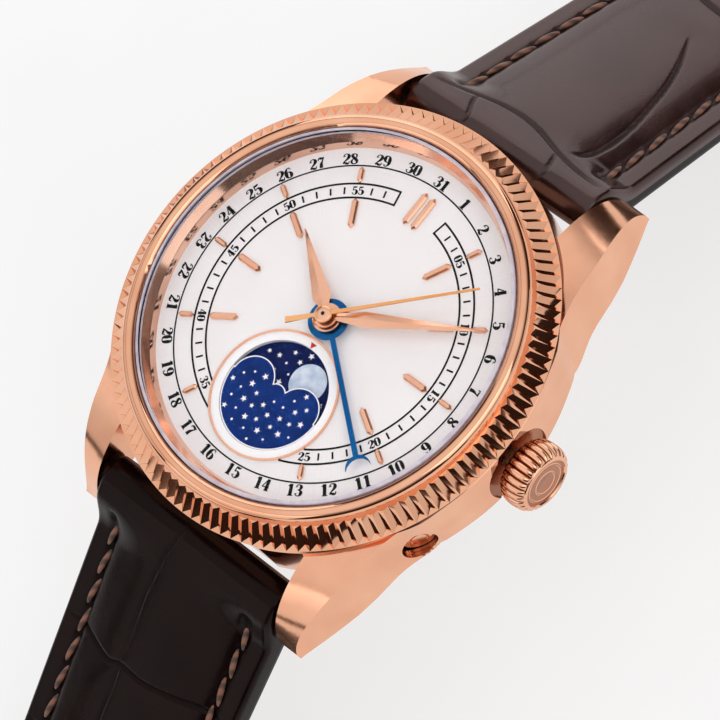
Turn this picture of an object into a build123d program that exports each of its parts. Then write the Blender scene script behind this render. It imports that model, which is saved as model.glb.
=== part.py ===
import os
from math import atan2, cos, degrees, hypot, radians, sin, sqrt

from build123d import *

os.makedirs("parts", exist_ok=True)

# A dress watch with moon phase and pointer date, open on its strap.
# Millimetres and degrees. Origin at the middle of the case back's outer face,
# +Z out of the dial, +Y to 12 o'clock, +X to 3 o'clock and the crown.

# Fits
running_fit = 0.06
seat_fit = 0.04
overrun = 1.0

# Heights through the case, from the case back outwards
back_lip_height = 0.25
back_glass_height = 1.2
back_flange_height = 1.9
back_neck_height = 1.35
rotor_gap = 0.3
rotor_rim_height = 1.15
winding_gap = 0.1
winding_wheel_height = 0.3
bridge_height = 0.95
train_height = 2.0
plate_height = 1.0
calendar_height = 1.3
dial_height = 0.4

back_glass_z = back_lip_height
rotor_z = back_glass_z + back_glass_height + rotor_gap
winding_z = rotor_z + rotor_rim_height + winding_gap
bridge_z = winding_z + winding_wheel_height + seat_fit
train_z = bridge_z + bridge_height
plate_z = train_z + train_height
calendar_z = plate_z + plate_height
dial_foot_z = calendar_z + calendar_height
dial_z = dial_foot_z + dial_height

# Going train: teeth, modules and places
wheel_height = 0.15
centre_teeth = 64
third_pinion_teeth = 8
third_teeth = 60
fourth_pinion_teeth = 8
fourth_teeth = 72
escape_pinion_teeth = 6
barrel_teeth = 72
centre_pinion_teeth = 12
centre_module = 0.125
fourth_module = 0.115
barrel_module = 0.14
barrel_angle = 60
third_angle = 200
escape_angle = 300
tooth_tip_share = 1.0
tooth_root_share = 1.25
pinion_tip_share = 0.75
pinion_slim_share = 0.3
fourth_wheel_rise = 0.15
third_wheel_rise = 0.40
centre_wheel_rise = 0.75
centre_pinion_rise = 0.98
pinion_height = 0.28
pinion_lap = 0.06
barrel_rise = 1.02
barrel_flange_height = 0.28
barrel_drum_height = 1.2
barrel_drum_share = 0.93
barrel_arbor_radius = 0.8
barrel_recess_gap = 0.2
crossing_count = 5
crossing_centre_share = 0.58
crossing_size_share = 0.26

# Escapement and balance
escape_wheel_teeth = 20
escape_wheel_radius = 2.1
escape_tooth_depth = 0.45
escape_wheel_rise = 0.44
pallet_distance = 2.45
pallet_width = 0.34
pallet_span_angle = 54
pallet_stone_length = 0.5
pallet_stone_width = 0.25
pallet_stone_gap = 0.06
fork_length = 2.2
fork_slot_width = 0.24
fork_width = 0.66
balance_distance = 2.6
balance_radius = 4.0
balance_rim_wall = 0.45
balance_rim_height = 0.35
balance_arm_width = 0.5
balance_hub_radius = 0.7
balance_rise = 0.2
balance_clearance = 0.35
roller_radius = 0.3
hairspring_turns = 5
hairspring_inner_radius = 0.55
hairspring_pitch = 0.48
hairspring_strip = 0.07
hairspring_height = 0.15
hairspring_steps = 14
hairspring_gap = 0.15
stud_radius = 0.2

# Movement plates
plate_rim_wall = 1.1
balance_rim_gap = 0.565
bridge_step = 0.3
plate_centre_bore = 0.75
stem_channel_radius = 2.0
stem_channel_reach = 2.0
bridge_split_width = 0.35
cock_height = 0.65
cock_arm_width = 3.4
cock_foot_width = 7.0
cock_hub_radius = 1.9
jewel_radius = 0.55
pivot_radius = 0.12
pivot_hole_radius = 0.17
screw_head_radius = 0.62
screw_head_height = 0.2
screw_slot_width = 0.16
screw_slot_depth = 0.1
screw_ring_inset = 1.0
screw_angles = (28, 75, 122, 160, 200, 236)

# Winding wheels and rotor
winding_module = 0.2
ratchet_teeth = 32
crown_wheel_teeth = 37
winding_pinion_teeth = 16
winding_pinion_lap = 0.3
winding_pinion_length = 1.2
winding_pinion_radius = 1.7
winding_pinion_clearance = 0.2
winding_screw_radius = 0.75
rotor_inset = 0.8
rotor_rim_wall = 1.9
rotor_plate_rise = 0.35
rotor_plate_height = 0.4
rotor_overhang = 1.6
rotor_hub_radius = 2.9
rotor_window_inner_radius = 5.0
rotor_window_outer_radius = 11.0
rotor_window_angle = 48
rotor_window_middle = -90
rotor_spoke_angle = 8
bearing_radius = 2.1
bearing_core_radius = 1.2
bearing_head_height = 0.25

# Motion works, date and moon works
motion_module = 0.12
cannon_teeth = 12
minute_wheel_teeth = 36
minute_pinion_teeth = 10
hour_wheel_teeth = 40
minute_wheel_angle = 150
post_radius = 0.3
driver_teeth = 80
driver_angle = 200
date_finger_angle = 245
moon_finger_angle = 185
driver_finger_length = 0.7
driver_finger_width = 0.4
date_finger_lap = 0.35
moon_finger_lap = 0.15
motion_level = 0.1
hour_level = 0.34
date_level = 0.56
moon_level = 0.98
date_wheel_teeth = 31
date_wheel_radius = 3.5
date_tooth_depth = 0.45
moon_disc_radius = 5.25
moon_disc_teeth = 59
moon_tooth_depth = 0.22
moon_disc_height = 0.14
jumper_width = 0.35
date_jumper_angle = 20
moon_jumper_angle = 305
jumper_length = 3.4
jumper_foot_radius = 0.7
moon_jumper_length = 1.2

# Mid case
movement_ring_wall = 1.4
case_neck_wall = 0.65
case_margin = 0.15
case_edge = 0.15
case_flank_height = 4.9
case_under_step = 1.4
bezel_seat_drop = 0.5
case_lug_gap = 22.1
bezel_seat_z = dial_z - bezel_seat_drop
case_under_z = back_flange_height

# Lugs, as stations along one lug and shares of its length, width and drop
lug_root_y = 9.0
lug_tip_reach = 2.5
lug_width = 6.3
lug_drop = 7.4
lug_top_drop = 0.6
lug_length_shares = (0, 0.303, 0.552, 0.786, 0.945, 1)
lug_ridge_width_shares = (1, 0.83, 0.65, 0.475, 0.325, 0.33)
lug_ridge_drop_shares = (0.045, 0.088, 0.22, 0.43, 0.75, 0.93)
lug_inner_drop_shares = (0.03, 0.045, 0.11, 0.29, 0.6, 0.9)
lug_foot_width_shares = (1.095, 0.99, 0.786, 0.587, 0.42, 0.36)
lug_foot_drop_shares = (0.70, 0.73, 0.81, 0.885, 0.96, 1)
bar_stand = 0.9
bar_z = 3.2
bar_radius = 0.9
bar_pin_radius = 0.45
bar_pin_length = 1.1

# Bezel with its fluted band
bezel_lip_height = 0.25
flute_count = 120
flute_lip_step = 0.25
flute_slope = 1.12
flute_foot_depth = 0.45
flute_top_depth = 0.33
flute_foot_rise = 0.38
flute_height = 1.42
bezel_ring_gap = 0.38
bezel_ring_step = 0.6
bezel_crest_step = 0.68
bezel_crest_rise = 2.45
bezel_mouth_lap = 0.13
bezel_mouth_rise = 2.1

# Crystal, its gasket and the polished ring below it
gasket_wall = 0.25
crystal_foot_rise = 1.4
crystal_edge_height = 0.85
crystal_bevel = 0.3
crystal_apex_rise = 3.5
crystal_centre_thickness = 0.75
crystal_skirt = 0.25
crystal_skirt_height = 0.5
dome_chords = 5
dial_margin = 0.6
rehaut_step = 0.15
gasket_height = 0.55

# Display case back
back_margin = 0.5
back_chamfer = 0.5
back_neck_wall = 1.35
back_window_radius = 12.6
back_lip_width = 0.4
back_floor_height = 1.5
back_notch_count = 6
back_notch_width = 2.0
back_notch_length = 1.2
back_notch_depth = 0.6
back_notch_inset = 1.6
seal_inset = 0.9
seal_wall = 0.35
seal_height = 0.45

# Crown and stem
stem_drop = 3.9
stem_radius = 0.6
stem_end_reach = 1.396
tube_radius = 1.0
tube_sink = 0.2
tube_stand = 1.3
crown_radius = 3.15
crown_stand = 0.25
crown_length = 2.75
crown_shoulder_radius = 2.75
crown_cap_radius = 2.5
crown_cap_wall = 0.2
crown_cap_depth = 0.12
crown_dome = 0.12
crown_flute_count = 26
crown_flute_depth = 0.3
crown_barrel_share = 0.75
crown_hollow_radius = 1.35
crown_hollow_depth = 1.9
crown_recess_radius = 3.4
crown_recess_depth = 0.45
stem_z = dial_z - stem_drop

# Corrector pusher for the moon phase, at 4 o'clock
corrector_angle = -30
corrector_recess_radius = 1.5
corrector_recess_depth = 0.45
corrector_head_radius = 1.38
corrector_head_length = 1.2
corrector_stem_radius = 0.4
corrector_stroke = 0.8
corrector_tip_stand = 0.45
corrector_ring_radius = 0.85
corrector_ring_wall = 0.2
corrector_ring_depth = 0.12

# Dial and what is fixed to it
dial_gap = 0.15
dial_bore_radius = 1.05
moon_y = -7.8
moon_window_radius = 4.95
subdial_ring_step = 0.95
subdial_ring_width = 0.17
subdial_ring_height = 0.16
mask_height = 0.3
mask_drop = 0.04
hump_x = 2.67
hump_radius = 2.1
mask_middle_radius = 1.05
index_height = 0.3
index_roof_share = 0.45
outer_index_inset = 3.3
outer_index_length = 1.25
outer_index_width = 0.46
index_row_gap = 1.4
inner_index_length = 2.6
inner_index_width = 0.6
twelve_marker_inset = 5.7
twelve_marker_length = 3.3
twelve_marker_gap = 0.34
twelve_marker_width = 0.62

# Hands
hand_height = 0.16
date_hand_rise = 0.62
hour_hand_rise = 1.02
minute_hand_rise = 1.42
second_hand_rise = 1.92
date_hand_angle = 127.7
hour_hand_angle = 305.2
minute_hand_angle = 62.2
second_hand_angle = 47.7
second_hand_inset = 2.15
second_hand_tail = 3.4
second_hand_width = 0.34
second_tail_width = 0.55
second_hub_radius = 0.8
minute_hand_inset = 1.4
minute_hand_width = 1.42
minute_hub_radius = 1.05
hour_hand_width = 1.7
hour_hub_radius = 1.3
hand_neck_width = 0.5
hand_widest_share = 0.24
hand_ridge_share = 0.6
hand_edge_share = 0.3
hand_tip_share = 0.25
date_hub_radius = 1.85
date_hand_width = 0.45
crescent_inset = 2.05
crescent_radius = 1.12
crescent_bite_radius = 1.17
crescent_bite_offset = 0.37

# Tubes that carry the hands, inside one another
second_arbor_radius = 0.14
tube_wall = 0.16
tube_gap = 0.06
cannon_radius = second_arbor_radius + tube_gap + tube_wall
hour_tube_radius = cannon_radius + tube_gap + tube_wall
date_tube_radius = hour_tube_radius + tube_gap + tube_wall

# Strap, one path for both halves: straight from the lugs, a bend, then flat
floor_z = -18.0
strap_slope = 30
strap_bend_radius = 45.0
strap_bend_steps = 6
strap_below_bar = 2.05
strap_case_gap = 0.35
strap_root_width = 21.4
strap_end_width = 18.0
strap_taper_length = 55.0
strap_root_crown = 2.2
strap_end_crown = 0.75
strap_thinning_length = 45.0
strap_root_edge = 0.45
strap_end_edge = 0.15
strap_margin = 2.6
strap_roll_length = 4.6
strap_roll_round = 0.25
strap_edge_round = 0.3
short_half_length = 75.0
long_half_length = 115.0
strap_tip_length = 12.0
strap_tip_width = 7.0
strap_tip_round_share = 0.2
strap_tip_bulge_share = 0.1
strap_hole_count = 7
strap_hole_spacing = 6.5
strap_hole_radius = 0.95
strap_first_hole = 26.0

# Keepers
keeper_wall = 0.95
keeper_under_gap = 0.15
keeper_width = 5.5
keeper_passage = 2.9
keeper_side_gap = 0.6
keeper_corner_radius = 0.7
fixed_keeper_place = 66.0
sliding_keeper_place = 56.0

# Pin buckle
buckle_bar_radius = 0.7
buckle_ear_radius = 1.3
buckle_roll_radius = 1.35
buckle_arm_width = 1.9
buckle_side_gap = 0.3
buckle_reach = 10.0
buckle_front_width = 2.2
buckle_corner_radius = 2.4
buckle_height = 2.3
tongue_width = 2.0
tongue_height = 0.8
tongue_loop_wall = 0.45
tongue_slot_width = 2.7
tongue_slot_length = 5.0
tongue_lap = 0.6
tongue_slope_drop = 0.2

# Radii that follow from the train, from the arbors out to the case
third_distance = (centre_teeth + third_pinion_teeth) * centre_module / 2
escape_distance = (fourth_teeth + escape_pinion_teeth) * fourth_module / 2
balance_reach = escape_distance + pallet_distance + balance_distance
rim_inner_radius = balance_reach + balance_radius + balance_rim_gap
movement_radius = rim_inner_radius + plate_rim_wall
bridge_radius = movement_radius - bridge_step
screw_ring_radius = bridge_radius - screw_ring_inset

# Case radii, each a step out from the movement
case_bore_radius = movement_radius + movement_ring_wall
case_neck_radius = case_bore_radius + case_neck_wall
bezel_mouth_radius = case_neck_radius - bezel_mouth_lap
bezel_crest_radius = bezel_mouth_radius + bezel_crest_step
bezel_ring_radius = bezel_crest_radius + bezel_ring_step
flute_top_radius = bezel_ring_radius + bezel_ring_gap
flute_foot_radius = flute_top_radius + flute_slope
bezel_lip_radius = flute_foot_radius + flute_lip_step
case_radius = bezel_lip_radius + case_margin
case_under_radius = case_radius - case_under_step
crystal_radius = case_neck_radius - gasket_wall
rehaut_top_radius = crystal_radius - rehaut_step
dial_opening_radius = case_bore_radius - dial_margin
dial_radius = case_bore_radius - dial_gap
subdial_ring_radius = moon_window_radius + subdial_ring_step
outer_index_radius = dial_opening_radius - outer_index_inset
inner_index_radius = outer_index_radius - index_row_gap - inner_index_length
twelve_marker_radius = dial_opening_radius - twelve_marker_inset
crescent_centre_radius = dial_opening_radius - crescent_inset
second_hand_length = dial_opening_radius - second_hand_inset
minute_hand_length = dial_opening_radius - minute_hand_inset
hour_hand_length = inner_index_radius
seal_radius = case_bore_radius + seal_inset
back_radius = seal_radius + back_margin
back_notch_radius = back_radius - back_notch_inset
back_glass_radius = back_window_radius + back_lip_width
tube_inner_x = case_bore_radius + tube_sink
tube_outer_x = case_radius + tube_stand
crown_inner_x = case_radius + crown_stand
corrector_tip_radius = case_bore_radius - corrector_tip_stand
rotor_radius = movement_radius - rotor_inset
bar_y = case_radius + bar_stand
lug_length = bar_y + lug_tip_reach - lug_root_y
case_notch_y = bar_y - strap_below_bar - strap_case_gap


def polar(radius, angle):
    """A point at a radius, its angle counted from +X."""
    return radius * cos(radians(angle)), radius * sin(radians(angle))


def clock(angle):
    """The angle from +X of a clock angle counted from 12 o'clock."""
    return 90 - angle


def pointed_teeth(teeth, tip, root, phase=0):
    """Outline of a wheel with one pointed tooth at the phase angle."""
    outline = []
    for tooth in range(teeth):
        centre = phase + 360 * tooth / teeth
        outline.append(polar(tip, centre))
        outline.append(polar(root, centre + 180 / teeth))
    return outline


def pinion_leaves(teeth, tip, root, slim, phase=0):
    """Outline of a pinion whose flat leaves take a share of the pitch."""
    outline = []
    for tooth in range(teeth):
        centre = phase + 360 * tooth / teeth
        half = slim * 180 / teeth
        outline.append(polar(root, centre - half))
        outline.append(polar(tip, centre - half))
        outline.append(polar(tip, centre + half))
        outline.append(polar(root, centre + half))
    return outline


def meshed_phase(phase, teeth, direction, other_teeth):
    """Phase of a second wheel that has a gap where the first has a tooth."""
    past_tooth = (direction - phase) * teeth / 360
    other_past = 0.5 - past_tooth
    return direction + 180 - other_past * 360 / other_teeth


def pinion_outline(teeth, module, phase=0):
    """Outline of a pinion of this module."""
    pitch = teeth * module / 2
    tip = pitch + pinion_tip_share * module
    root = pitch - tooth_root_share * module
    return pinion_leaves(teeth, tip, root, pinion_slim_share, phase)


def wheel_outline(teeth, module, phase=0):
    """Outline of a wheel of this module."""
    pitch = teeth * module / 2
    return pointed_teeth(teeth, pitch + tooth_tip_share * module, pitch - tooth_root_share * module, phase)


def dome(rim_x, rim_z, apex_z):
    """Points from the rim to the apex along a dome that is part of a sphere."""
    rise = apex_z - rim_z
    radius = (rim_x**2 + rise**2) / (2 * rise)
    steps = [rim_x * (1 - step / dome_chords) for step in range(dome_chords + 1)]
    return [(x, apex_z - radius + sqrt(radius**2 - x**2)) for x in steps]


# Places of the arbors, worked out from the teeth and modules
centre_place = (0, 0)
third_module = 2 * third_distance / (third_teeth + fourth_pinion_teeth)
third_place = polar(third_distance, third_angle)
escape_place = polar(escape_distance, escape_angle)
barrel_distance = (barrel_teeth + centre_pinion_teeth) * barrel_module / 2
barrel_place = polar(barrel_distance, barrel_angle)
pallet_place = polar(escape_distance + pallet_distance, escape_angle)
balance_place = polar(balance_reach, escape_angle)
winding_reach = (ratchet_teeth + crown_wheel_teeth) * winding_module / 2
crown_wheel_x = barrel_place[0] + sqrt(winding_reach**2 - barrel_place[1] ** 2)
crown_wheel_place = (crown_wheel_x, 0)
crown_wheel_angle = degrees(atan2(-barrel_place[1], crown_wheel_x - barrel_place[0]))
crown_wheel_radius = crown_wheel_teeth * winding_module / 2
winding_pinion_x = crown_wheel_x + crown_wheel_radius - winding_pinion_lap
winding_pinion_foot_x = winding_pinion_x - winding_pinion_length / 2
stem_inner_x = winding_pinion_foot_x - stem_end_reach
stem_channel_inner_x = winding_pinion_foot_x - stem_channel_reach
minute_distance = (cannon_teeth + minute_wheel_teeth) * motion_module / 2
hour_module = 2 * minute_distance / (minute_pinion_teeth + hour_wheel_teeth)
minute_place = polar(minute_distance, minute_wheel_angle)
driver_distance = (hour_wheel_teeth + driver_teeth) * hour_module / 2
driver_place = polar(driver_distance, driver_angle)
moon_place = (0, moon_y)

# Phases that put each pair of wheels in mesh at rest
centre_phase = 0
third_pinion_phase = meshed_phase(centre_phase, centre_teeth, third_angle, third_pinion_teeth)
third_phase = 0
fourth_pinion_phase = meshed_phase(third_phase, third_teeth, third_angle + 180, fourth_pinion_teeth)
fourth_phase = 0
escape_pinion_phase = meshed_phase(fourth_phase, fourth_teeth, escape_angle, escape_pinion_teeth)
barrel_phase = 0
centre_pinion_phase = meshed_phase(barrel_phase, barrel_teeth, barrel_angle + 180, centre_pinion_teeth)
ratchet_phase = 0
crown_wheel_phase = meshed_phase(ratchet_phase, ratchet_teeth, crown_wheel_angle, crown_wheel_teeth)
minute_phase = 0
cannon_phase = meshed_phase(minute_phase, minute_wheel_teeth, minute_wheel_angle + 180, cannon_teeth)
hour_phase = 0
minute_pinion_phase = meshed_phase(hour_phase, hour_wheel_teeth, minute_wheel_angle, minute_pinion_teeth)
driver_phase = meshed_phase(hour_phase, hour_wheel_teeth, driver_angle, driver_teeth)

# Mid case: turned middle, four lofted lugs, bores, recesses and bar holes
with BuildPart() as mid_case:
    with BuildSketch(Plane.XZ):
        with BuildLine():
            Polyline(
                (0, case_under_z),
                (case_under_radius, case_under_z),
                (case_radius, bezel_seat_z - case_flank_height),
                (case_radius, bezel_seat_z - case_edge),
                (case_radius - case_edge, bezel_seat_z),
                (case_neck_radius - seat_fit, bezel_seat_z),
                (case_neck_radius - seat_fit, dial_z),
                (0, dial_z),
                close=True,
            )
        make_face()
    revolve(axis=Axis.Z)
    with BuildSketch(Plane.XY.offset(case_under_z)):
        with Locations((0, case_notch_y + overrun * 2), (0, -case_notch_y - overrun * 2)):
            Rectangle(case_lug_gap, overrun * 4)
    extrude(amount=bezel_seat_z - case_under_z, mode=Mode.SUBTRACT)
    lug_top_z = dial_z - lug_top_drop
    lug_sections = zip(
        lug_length_shares,
        lug_ridge_width_shares,
        lug_ridge_drop_shares,
        lug_inner_drop_shares,
        lug_foot_width_shares,
        lug_foot_drop_shares,
    )
    for length, ridge, ridge_drop, inner_drop, foot, foot_drop in lug_sections:
        with BuildSketch(Plane.XZ.offset(-lug_root_y - length * lug_length)):
            with BuildLine():
                inner_x = case_lug_gap / 2
                Polyline(
                    (inner_x, lug_top_z - foot_drop * lug_drop),
                    (inner_x + foot * lug_width, lug_top_z - foot_drop * lug_drop),
                    (inner_x + ridge * lug_width, lug_top_z - ridge_drop * lug_drop),
                    (inner_x, lug_top_z - inner_drop * lug_drop),
                    close=True,
                )
            make_face()
    lug = loft(mode=Mode.PRIVATE)
    add(lug)
    add(mirror(lug, about=Plane.YZ, mode=Mode.PRIVATE))
    add(mirror(lug, about=Plane.XZ, mode=Mode.PRIVATE))
    add(mirror(mirror(lug, about=Plane.XZ, mode=Mode.PRIVATE), about=Plane.YZ, mode=Mode.PRIVATE))
    with BuildSketch(Plane.XY.offset(bezel_seat_z)):
        Circle(case_radius + overrun)
        Circle(case_neck_radius - seat_fit, mode=Mode.SUBTRACT)
    extrude(amount=dial_z - bezel_seat_z, mode=Mode.SUBTRACT)
    with BuildSketch(Plane.XY.offset(case_under_z)):
        Circle(case_bore_radius)
    extrude(amount=dial_z - case_under_z, mode=Mode.SUBTRACT)
    with BuildSketch(Plane.XY.offset(case_under_z)):
        Circle(seal_radius - seal_wall)
    extrude(amount=back_neck_height + seat_fit, mode=Mode.SUBTRACT)
    with BuildSketch(Plane.XY.offset(case_under_z)):
        Circle(seal_radius + seal_wall / 2 + seat_fit)
        Circle(seal_radius - seal_wall / 2 - seat_fit, mode=Mode.SUBTRACT)
    extrude(amount=seal_height, mode=Mode.SUBTRACT)
    with BuildSketch(Plane.YZ.offset(case_radius - crown_recess_depth)):
        with Locations((0, stem_z)):
            Circle(crown_recess_radius)
    extrude(amount=overrun, mode=Mode.SUBTRACT)
    with BuildSketch(Plane.YZ.offset(case_bore_radius - overrun)):
        with Locations((0, stem_z)):
            Circle(tube_radius + seat_fit)
    extrude(amount=case_radius - case_bore_radius + overrun, mode=Mode.SUBTRACT)
    corrector_plane = Plane(
        origin=(0, 0, stem_z),
        x_dir=(0, 0, 1),
        z_dir=(cos(radians(corrector_angle)), sin(radians(corrector_angle)), 0),
    )
    corrector_face_radius = case_radius - corrector_recess_depth
    corrector_bore_depth = corrector_head_length + corrector_stroke + running_fit
    with BuildSketch(corrector_plane.offset(case_bore_radius - overrun)):
        Circle(corrector_stem_radius + running_fit)
    extrude(amount=case_radius - case_bore_radius + overrun, mode=Mode.SUBTRACT)
    with BuildSketch(corrector_plane.offset(corrector_face_radius - corrector_bore_depth)):
        Circle(corrector_head_radius + running_fit)
    extrude(amount=corrector_bore_depth + corrector_recess_depth, mode=Mode.SUBTRACT)
    with BuildSketch(corrector_plane.offset(corrector_face_radius)):
        Circle(corrector_recess_radius)
    extrude(amount=corrector_recess_depth + overrun, mode=Mode.SUBTRACT)
    with BuildSketch(Plane.YZ.offset(-case_lug_gap / 2 - bar_pin_length)):
        with Locations((bar_y, bar_z), (-bar_y, bar_z)):
            Circle(bar_pin_radius + seat_fit)
    extrude(amount=case_lug_gap + 2 * bar_pin_length, mode=Mode.SUBTRACT)

# Bezel: a band of pointed flutes lofted between two stars, on a turned ring
flute_foot_z = bezel_seat_z + flute_foot_rise
with BuildPart() as bezel:
    with BuildSketch(Plane.XY.offset(flute_foot_z)):
        with BuildLine():
            Polyline(
                *pointed_teeth(flute_count, flute_foot_radius, flute_foot_radius - flute_foot_depth),
                close=True,
            )
        make_face()
    with BuildSketch(Plane.XY.offset(flute_foot_z + flute_height)):
        with BuildLine():
            Polyline(
                *pointed_teeth(flute_count, flute_top_radius, flute_top_radius - flute_top_depth),
                close=True,
            )
        make_face()
    loft(ruled=True)
    with BuildSketch(Plane.XZ):
        with BuildLine():
            Polyline(
                (bezel_ring_radius, dial_z + bezel_mouth_rise - flute_foot_depth),
                (bezel_ring_radius, flute_foot_z),
                (bezel_lip_radius - bezel_lip_height, flute_foot_z),
                (bezel_lip_radius, bezel_seat_z + bezel_lip_height),
                (bezel_lip_radius, bezel_seat_z),
                (case_neck_radius, bezel_seat_z),
                (bezel_mouth_radius, bezel_seat_z),
                (bezel_mouth_radius, dial_z + bezel_mouth_rise),
            )
            ThreePointArc(
                (bezel_mouth_radius, dial_z + bezel_mouth_rise),
                (bezel_crest_radius, dial_z + bezel_crest_rise),
                (bezel_ring_radius, dial_z + bezel_mouth_rise - flute_foot_depth),
            )
        make_face()
    revolve(axis=Axis.Z)
    with BuildSketch(Plane.XY.offset(bezel_seat_z)):
        Circle(case_neck_radius)
    extrude(amount=dial_z + crystal_foot_rise + gasket_height + seat_fit - bezel_seat_z, mode=Mode.SUBTRACT)
    with BuildSketch(Plane.XY.offset(bezel_seat_z)):
        Circle(bezel_mouth_radius)
    extrude(amount=bezel_crest_rise + overrun * 2, mode=Mode.SUBTRACT)

# Rehaut: the polished cone between dial and crystal
crystal_foot_z = dial_z + crystal_foot_rise
with BuildPart() as rehaut:
    with BuildSketch(Plane.XZ):
        with BuildLine():
            Polyline(
                (dial_opening_radius, dial_z),
                (case_neck_radius - seat_fit, dial_z),
                (case_neck_radius - seat_fit, crystal_foot_z),
                (rehaut_top_radius, crystal_foot_z),
                close=True,
            )
        make_face()
    revolve(axis=Axis.Z)

# Crystal: domed sapphire with a skirt that stands on the rehaut
with BuildPart() as crystal:
    with BuildSketch(Plane.XZ):
        with BuildLine():
            skirt_x = crystal_radius - crystal_skirt
            skirt_z = crystal_foot_z + crystal_skirt_height
            edge_z = crystal_foot_z + crystal_edge_height
            apex_z = dial_z + crystal_apex_rise
            rim_x = crystal_radius - crystal_bevel
            inner_apex_z = apex_z - crystal_centre_thickness
            Polyline(
                *reversed(dome(skirt_x, skirt_z, inner_apex_z)),
                (skirt_x, crystal_foot_z),
                (crystal_radius, crystal_foot_z),
                (crystal_radius, edge_z),
                *dome(rim_x, edge_z + crystal_bevel / 2, apex_z),
                close=True,
            )
        make_face()
    revolve(axis=Axis.Z)

with BuildPart() as crystal_gasket:
    with BuildSketch(Plane.XY.offset(crystal_foot_z)):
        Circle(case_neck_radius - seat_fit)
        Circle(crystal_radius + seat_fit, mode=Mode.SUBTRACT)
    extrude(amount=gasket_height)

# Case back: screwed ring with key notches, its glass and its seal
back_neck_radius = seal_radius - seal_wall - seat_fit
with BuildPart() as case_back_ring:
    with BuildSketch(Plane.XZ):
        with BuildLine():
            Polyline(
                (back_window_radius, 0),
                (back_radius - back_chamfer, 0),
                (back_radius, back_chamfer),
                (back_radius, back_flange_height),
                (back_neck_radius, back_flange_height),
                (back_neck_radius, back_flange_height + back_neck_height),
                (back_neck_radius - back_neck_wall, back_flange_height + back_neck_height),
                (back_neck_radius - back_neck_wall, back_floor_height),
                (back_glass_radius + seat_fit, back_floor_height),
                (back_glass_radius + seat_fit, back_lip_height),
                (back_window_radius, back_lip_height),
                close=True,
            )
        make_face()
    revolve(axis=Axis.Z)
    with BuildSketch():
        with PolarLocations(back_notch_radius, back_notch_count):
            Rectangle(back_notch_length, back_notch_width)
    extrude(amount=back_notch_depth, mode=Mode.SUBTRACT)

with BuildPart() as case_back_glass:
    with BuildSketch(Plane.XY.offset(back_glass_z)):
        Circle(back_glass_radius)
    extrude(amount=back_glass_height)
    with BuildSketch():
        Circle(back_window_radius - seat_fit)
    extrude(amount=back_lip_height)

with BuildPart() as case_back_gasket:
    with BuildSketch(Plane.XY.offset(back_flange_height)):
        Circle(seal_radius + seal_wall / 2)
        Circle(seal_radius - seal_wall / 2, mode=Mode.SUBTRACT)
    extrude(amount=seal_height)

# Crown, its stem and the tube it runs in
crown_plane = Plane(origin=(0, 0, stem_z), x_dir=(1, 0, 0), z_dir=(0, -1, 0))
stem_axis = Axis((0, 0, stem_z), (1, 0, 0))
crown_outer_x = crown_inner_x + crown_length
crown_foot_plane = Plane(origin=(crown_inner_x, 0, stem_z), x_dir=(0, 1, 0), z_dir=(1, 0, 0))
with BuildPart() as crown:
    with BuildSketch(crown_foot_plane):
        with BuildLine():
            Polyline(
                *pointed_teeth(crown_flute_count, crown_radius, crown_radius - crown_flute_depth),
                close=True,
            )
        make_face()
    extrude(amount=crown_length + crown_dome)
    with BuildSketch(crown_plane):
        with BuildLine():
            Polyline(
                (crown_outer_x - crown_cap_depth, crown_cap_radius - crown_cap_wall),
                (crown_outer_x, crown_cap_radius - crown_cap_wall),
                (crown_outer_x, crown_cap_radius),
                (crown_outer_x - crown_cap_depth, crown_cap_radius),
                (crown_outer_x - crown_cap_depth, crown_shoulder_radius),
                (crown_inner_x + crown_length * crown_barrel_share, crown_radius),
                (crown_inner_x + crown_length * (1 - crown_barrel_share), crown_radius),
                (crown_inner_x, crown_shoulder_radius),
                (crown_inner_x, 0),
                (crown_outer_x + crown_dome / 2, 0),
                (crown_outer_x, crown_cap_radius / 2),
                close=True,
            )
        make_face()
    revolve(axis=stem_axis, mode=Mode.INTERSECT)
    with BuildSketch(crown_foot_plane):
        Circle(crown_hollow_radius)
    extrude(amount=crown_hollow_depth, mode=Mode.SUBTRACT)

with BuildPart() as crown_stem:
    with BuildSketch(Plane.YZ.offset(stem_inner_x)):
        with Locations((0, stem_z)):
            Circle(stem_radius)
    extrude(amount=crown_inner_x + crown_hollow_depth - stem_inner_x)

with BuildPart() as crown_tube:
    with BuildSketch(Plane.YZ.offset(tube_inner_x)):
        with Locations((0, stem_z)):
            Circle(tube_radius)
            Circle(stem_radius + running_fit, mode=Mode.SUBTRACT)
    extrude(amount=tube_outer_x - tube_inner_x)

# Corrector: a stepped pusher with a turned ring on its face
with BuildPart() as corrector_pusher:
    with BuildSketch(corrector_plane.offset(corrector_tip_radius)):
        Circle(corrector_stem_radius)
    extrude(amount=corrector_face_radius - corrector_head_length - corrector_tip_radius)
    with BuildSketch(corrector_plane.offset(corrector_face_radius - corrector_head_length)):
        Circle(corrector_head_radius)
    extrude(amount=corrector_head_length)
    with BuildSketch(corrector_plane.offset(corrector_face_radius - corrector_ring_depth)):
        Circle(corrector_ring_radius)
        Circle(corrector_ring_radius - corrector_ring_wall, mode=Mode.SUBTRACT)
    extrude(amount=corrector_ring_depth, mode=Mode.SUBTRACT)

# Spring bars: a tube between the lugs and a pin at each end
with BuildPart() as spring_bars:
    with BuildSketch(Plane.YZ.offset(-case_lug_gap / 2 + seat_fit)):
        with Locations((bar_y, bar_z), (-bar_y, bar_z)):
            Circle(bar_radius)
    extrude(amount=case_lug_gap - 2 * seat_fit)
    with BuildSketch(Plane.YZ.offset(-case_lug_gap / 2 - bar_pin_length + seat_fit)):
        with Locations((bar_y, bar_z), (-bar_y, bar_z)):
            Circle(bar_pin_radius)
    extrude(amount=case_lug_gap + 2 * bar_pin_length - 2 * seat_fit)

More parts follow.
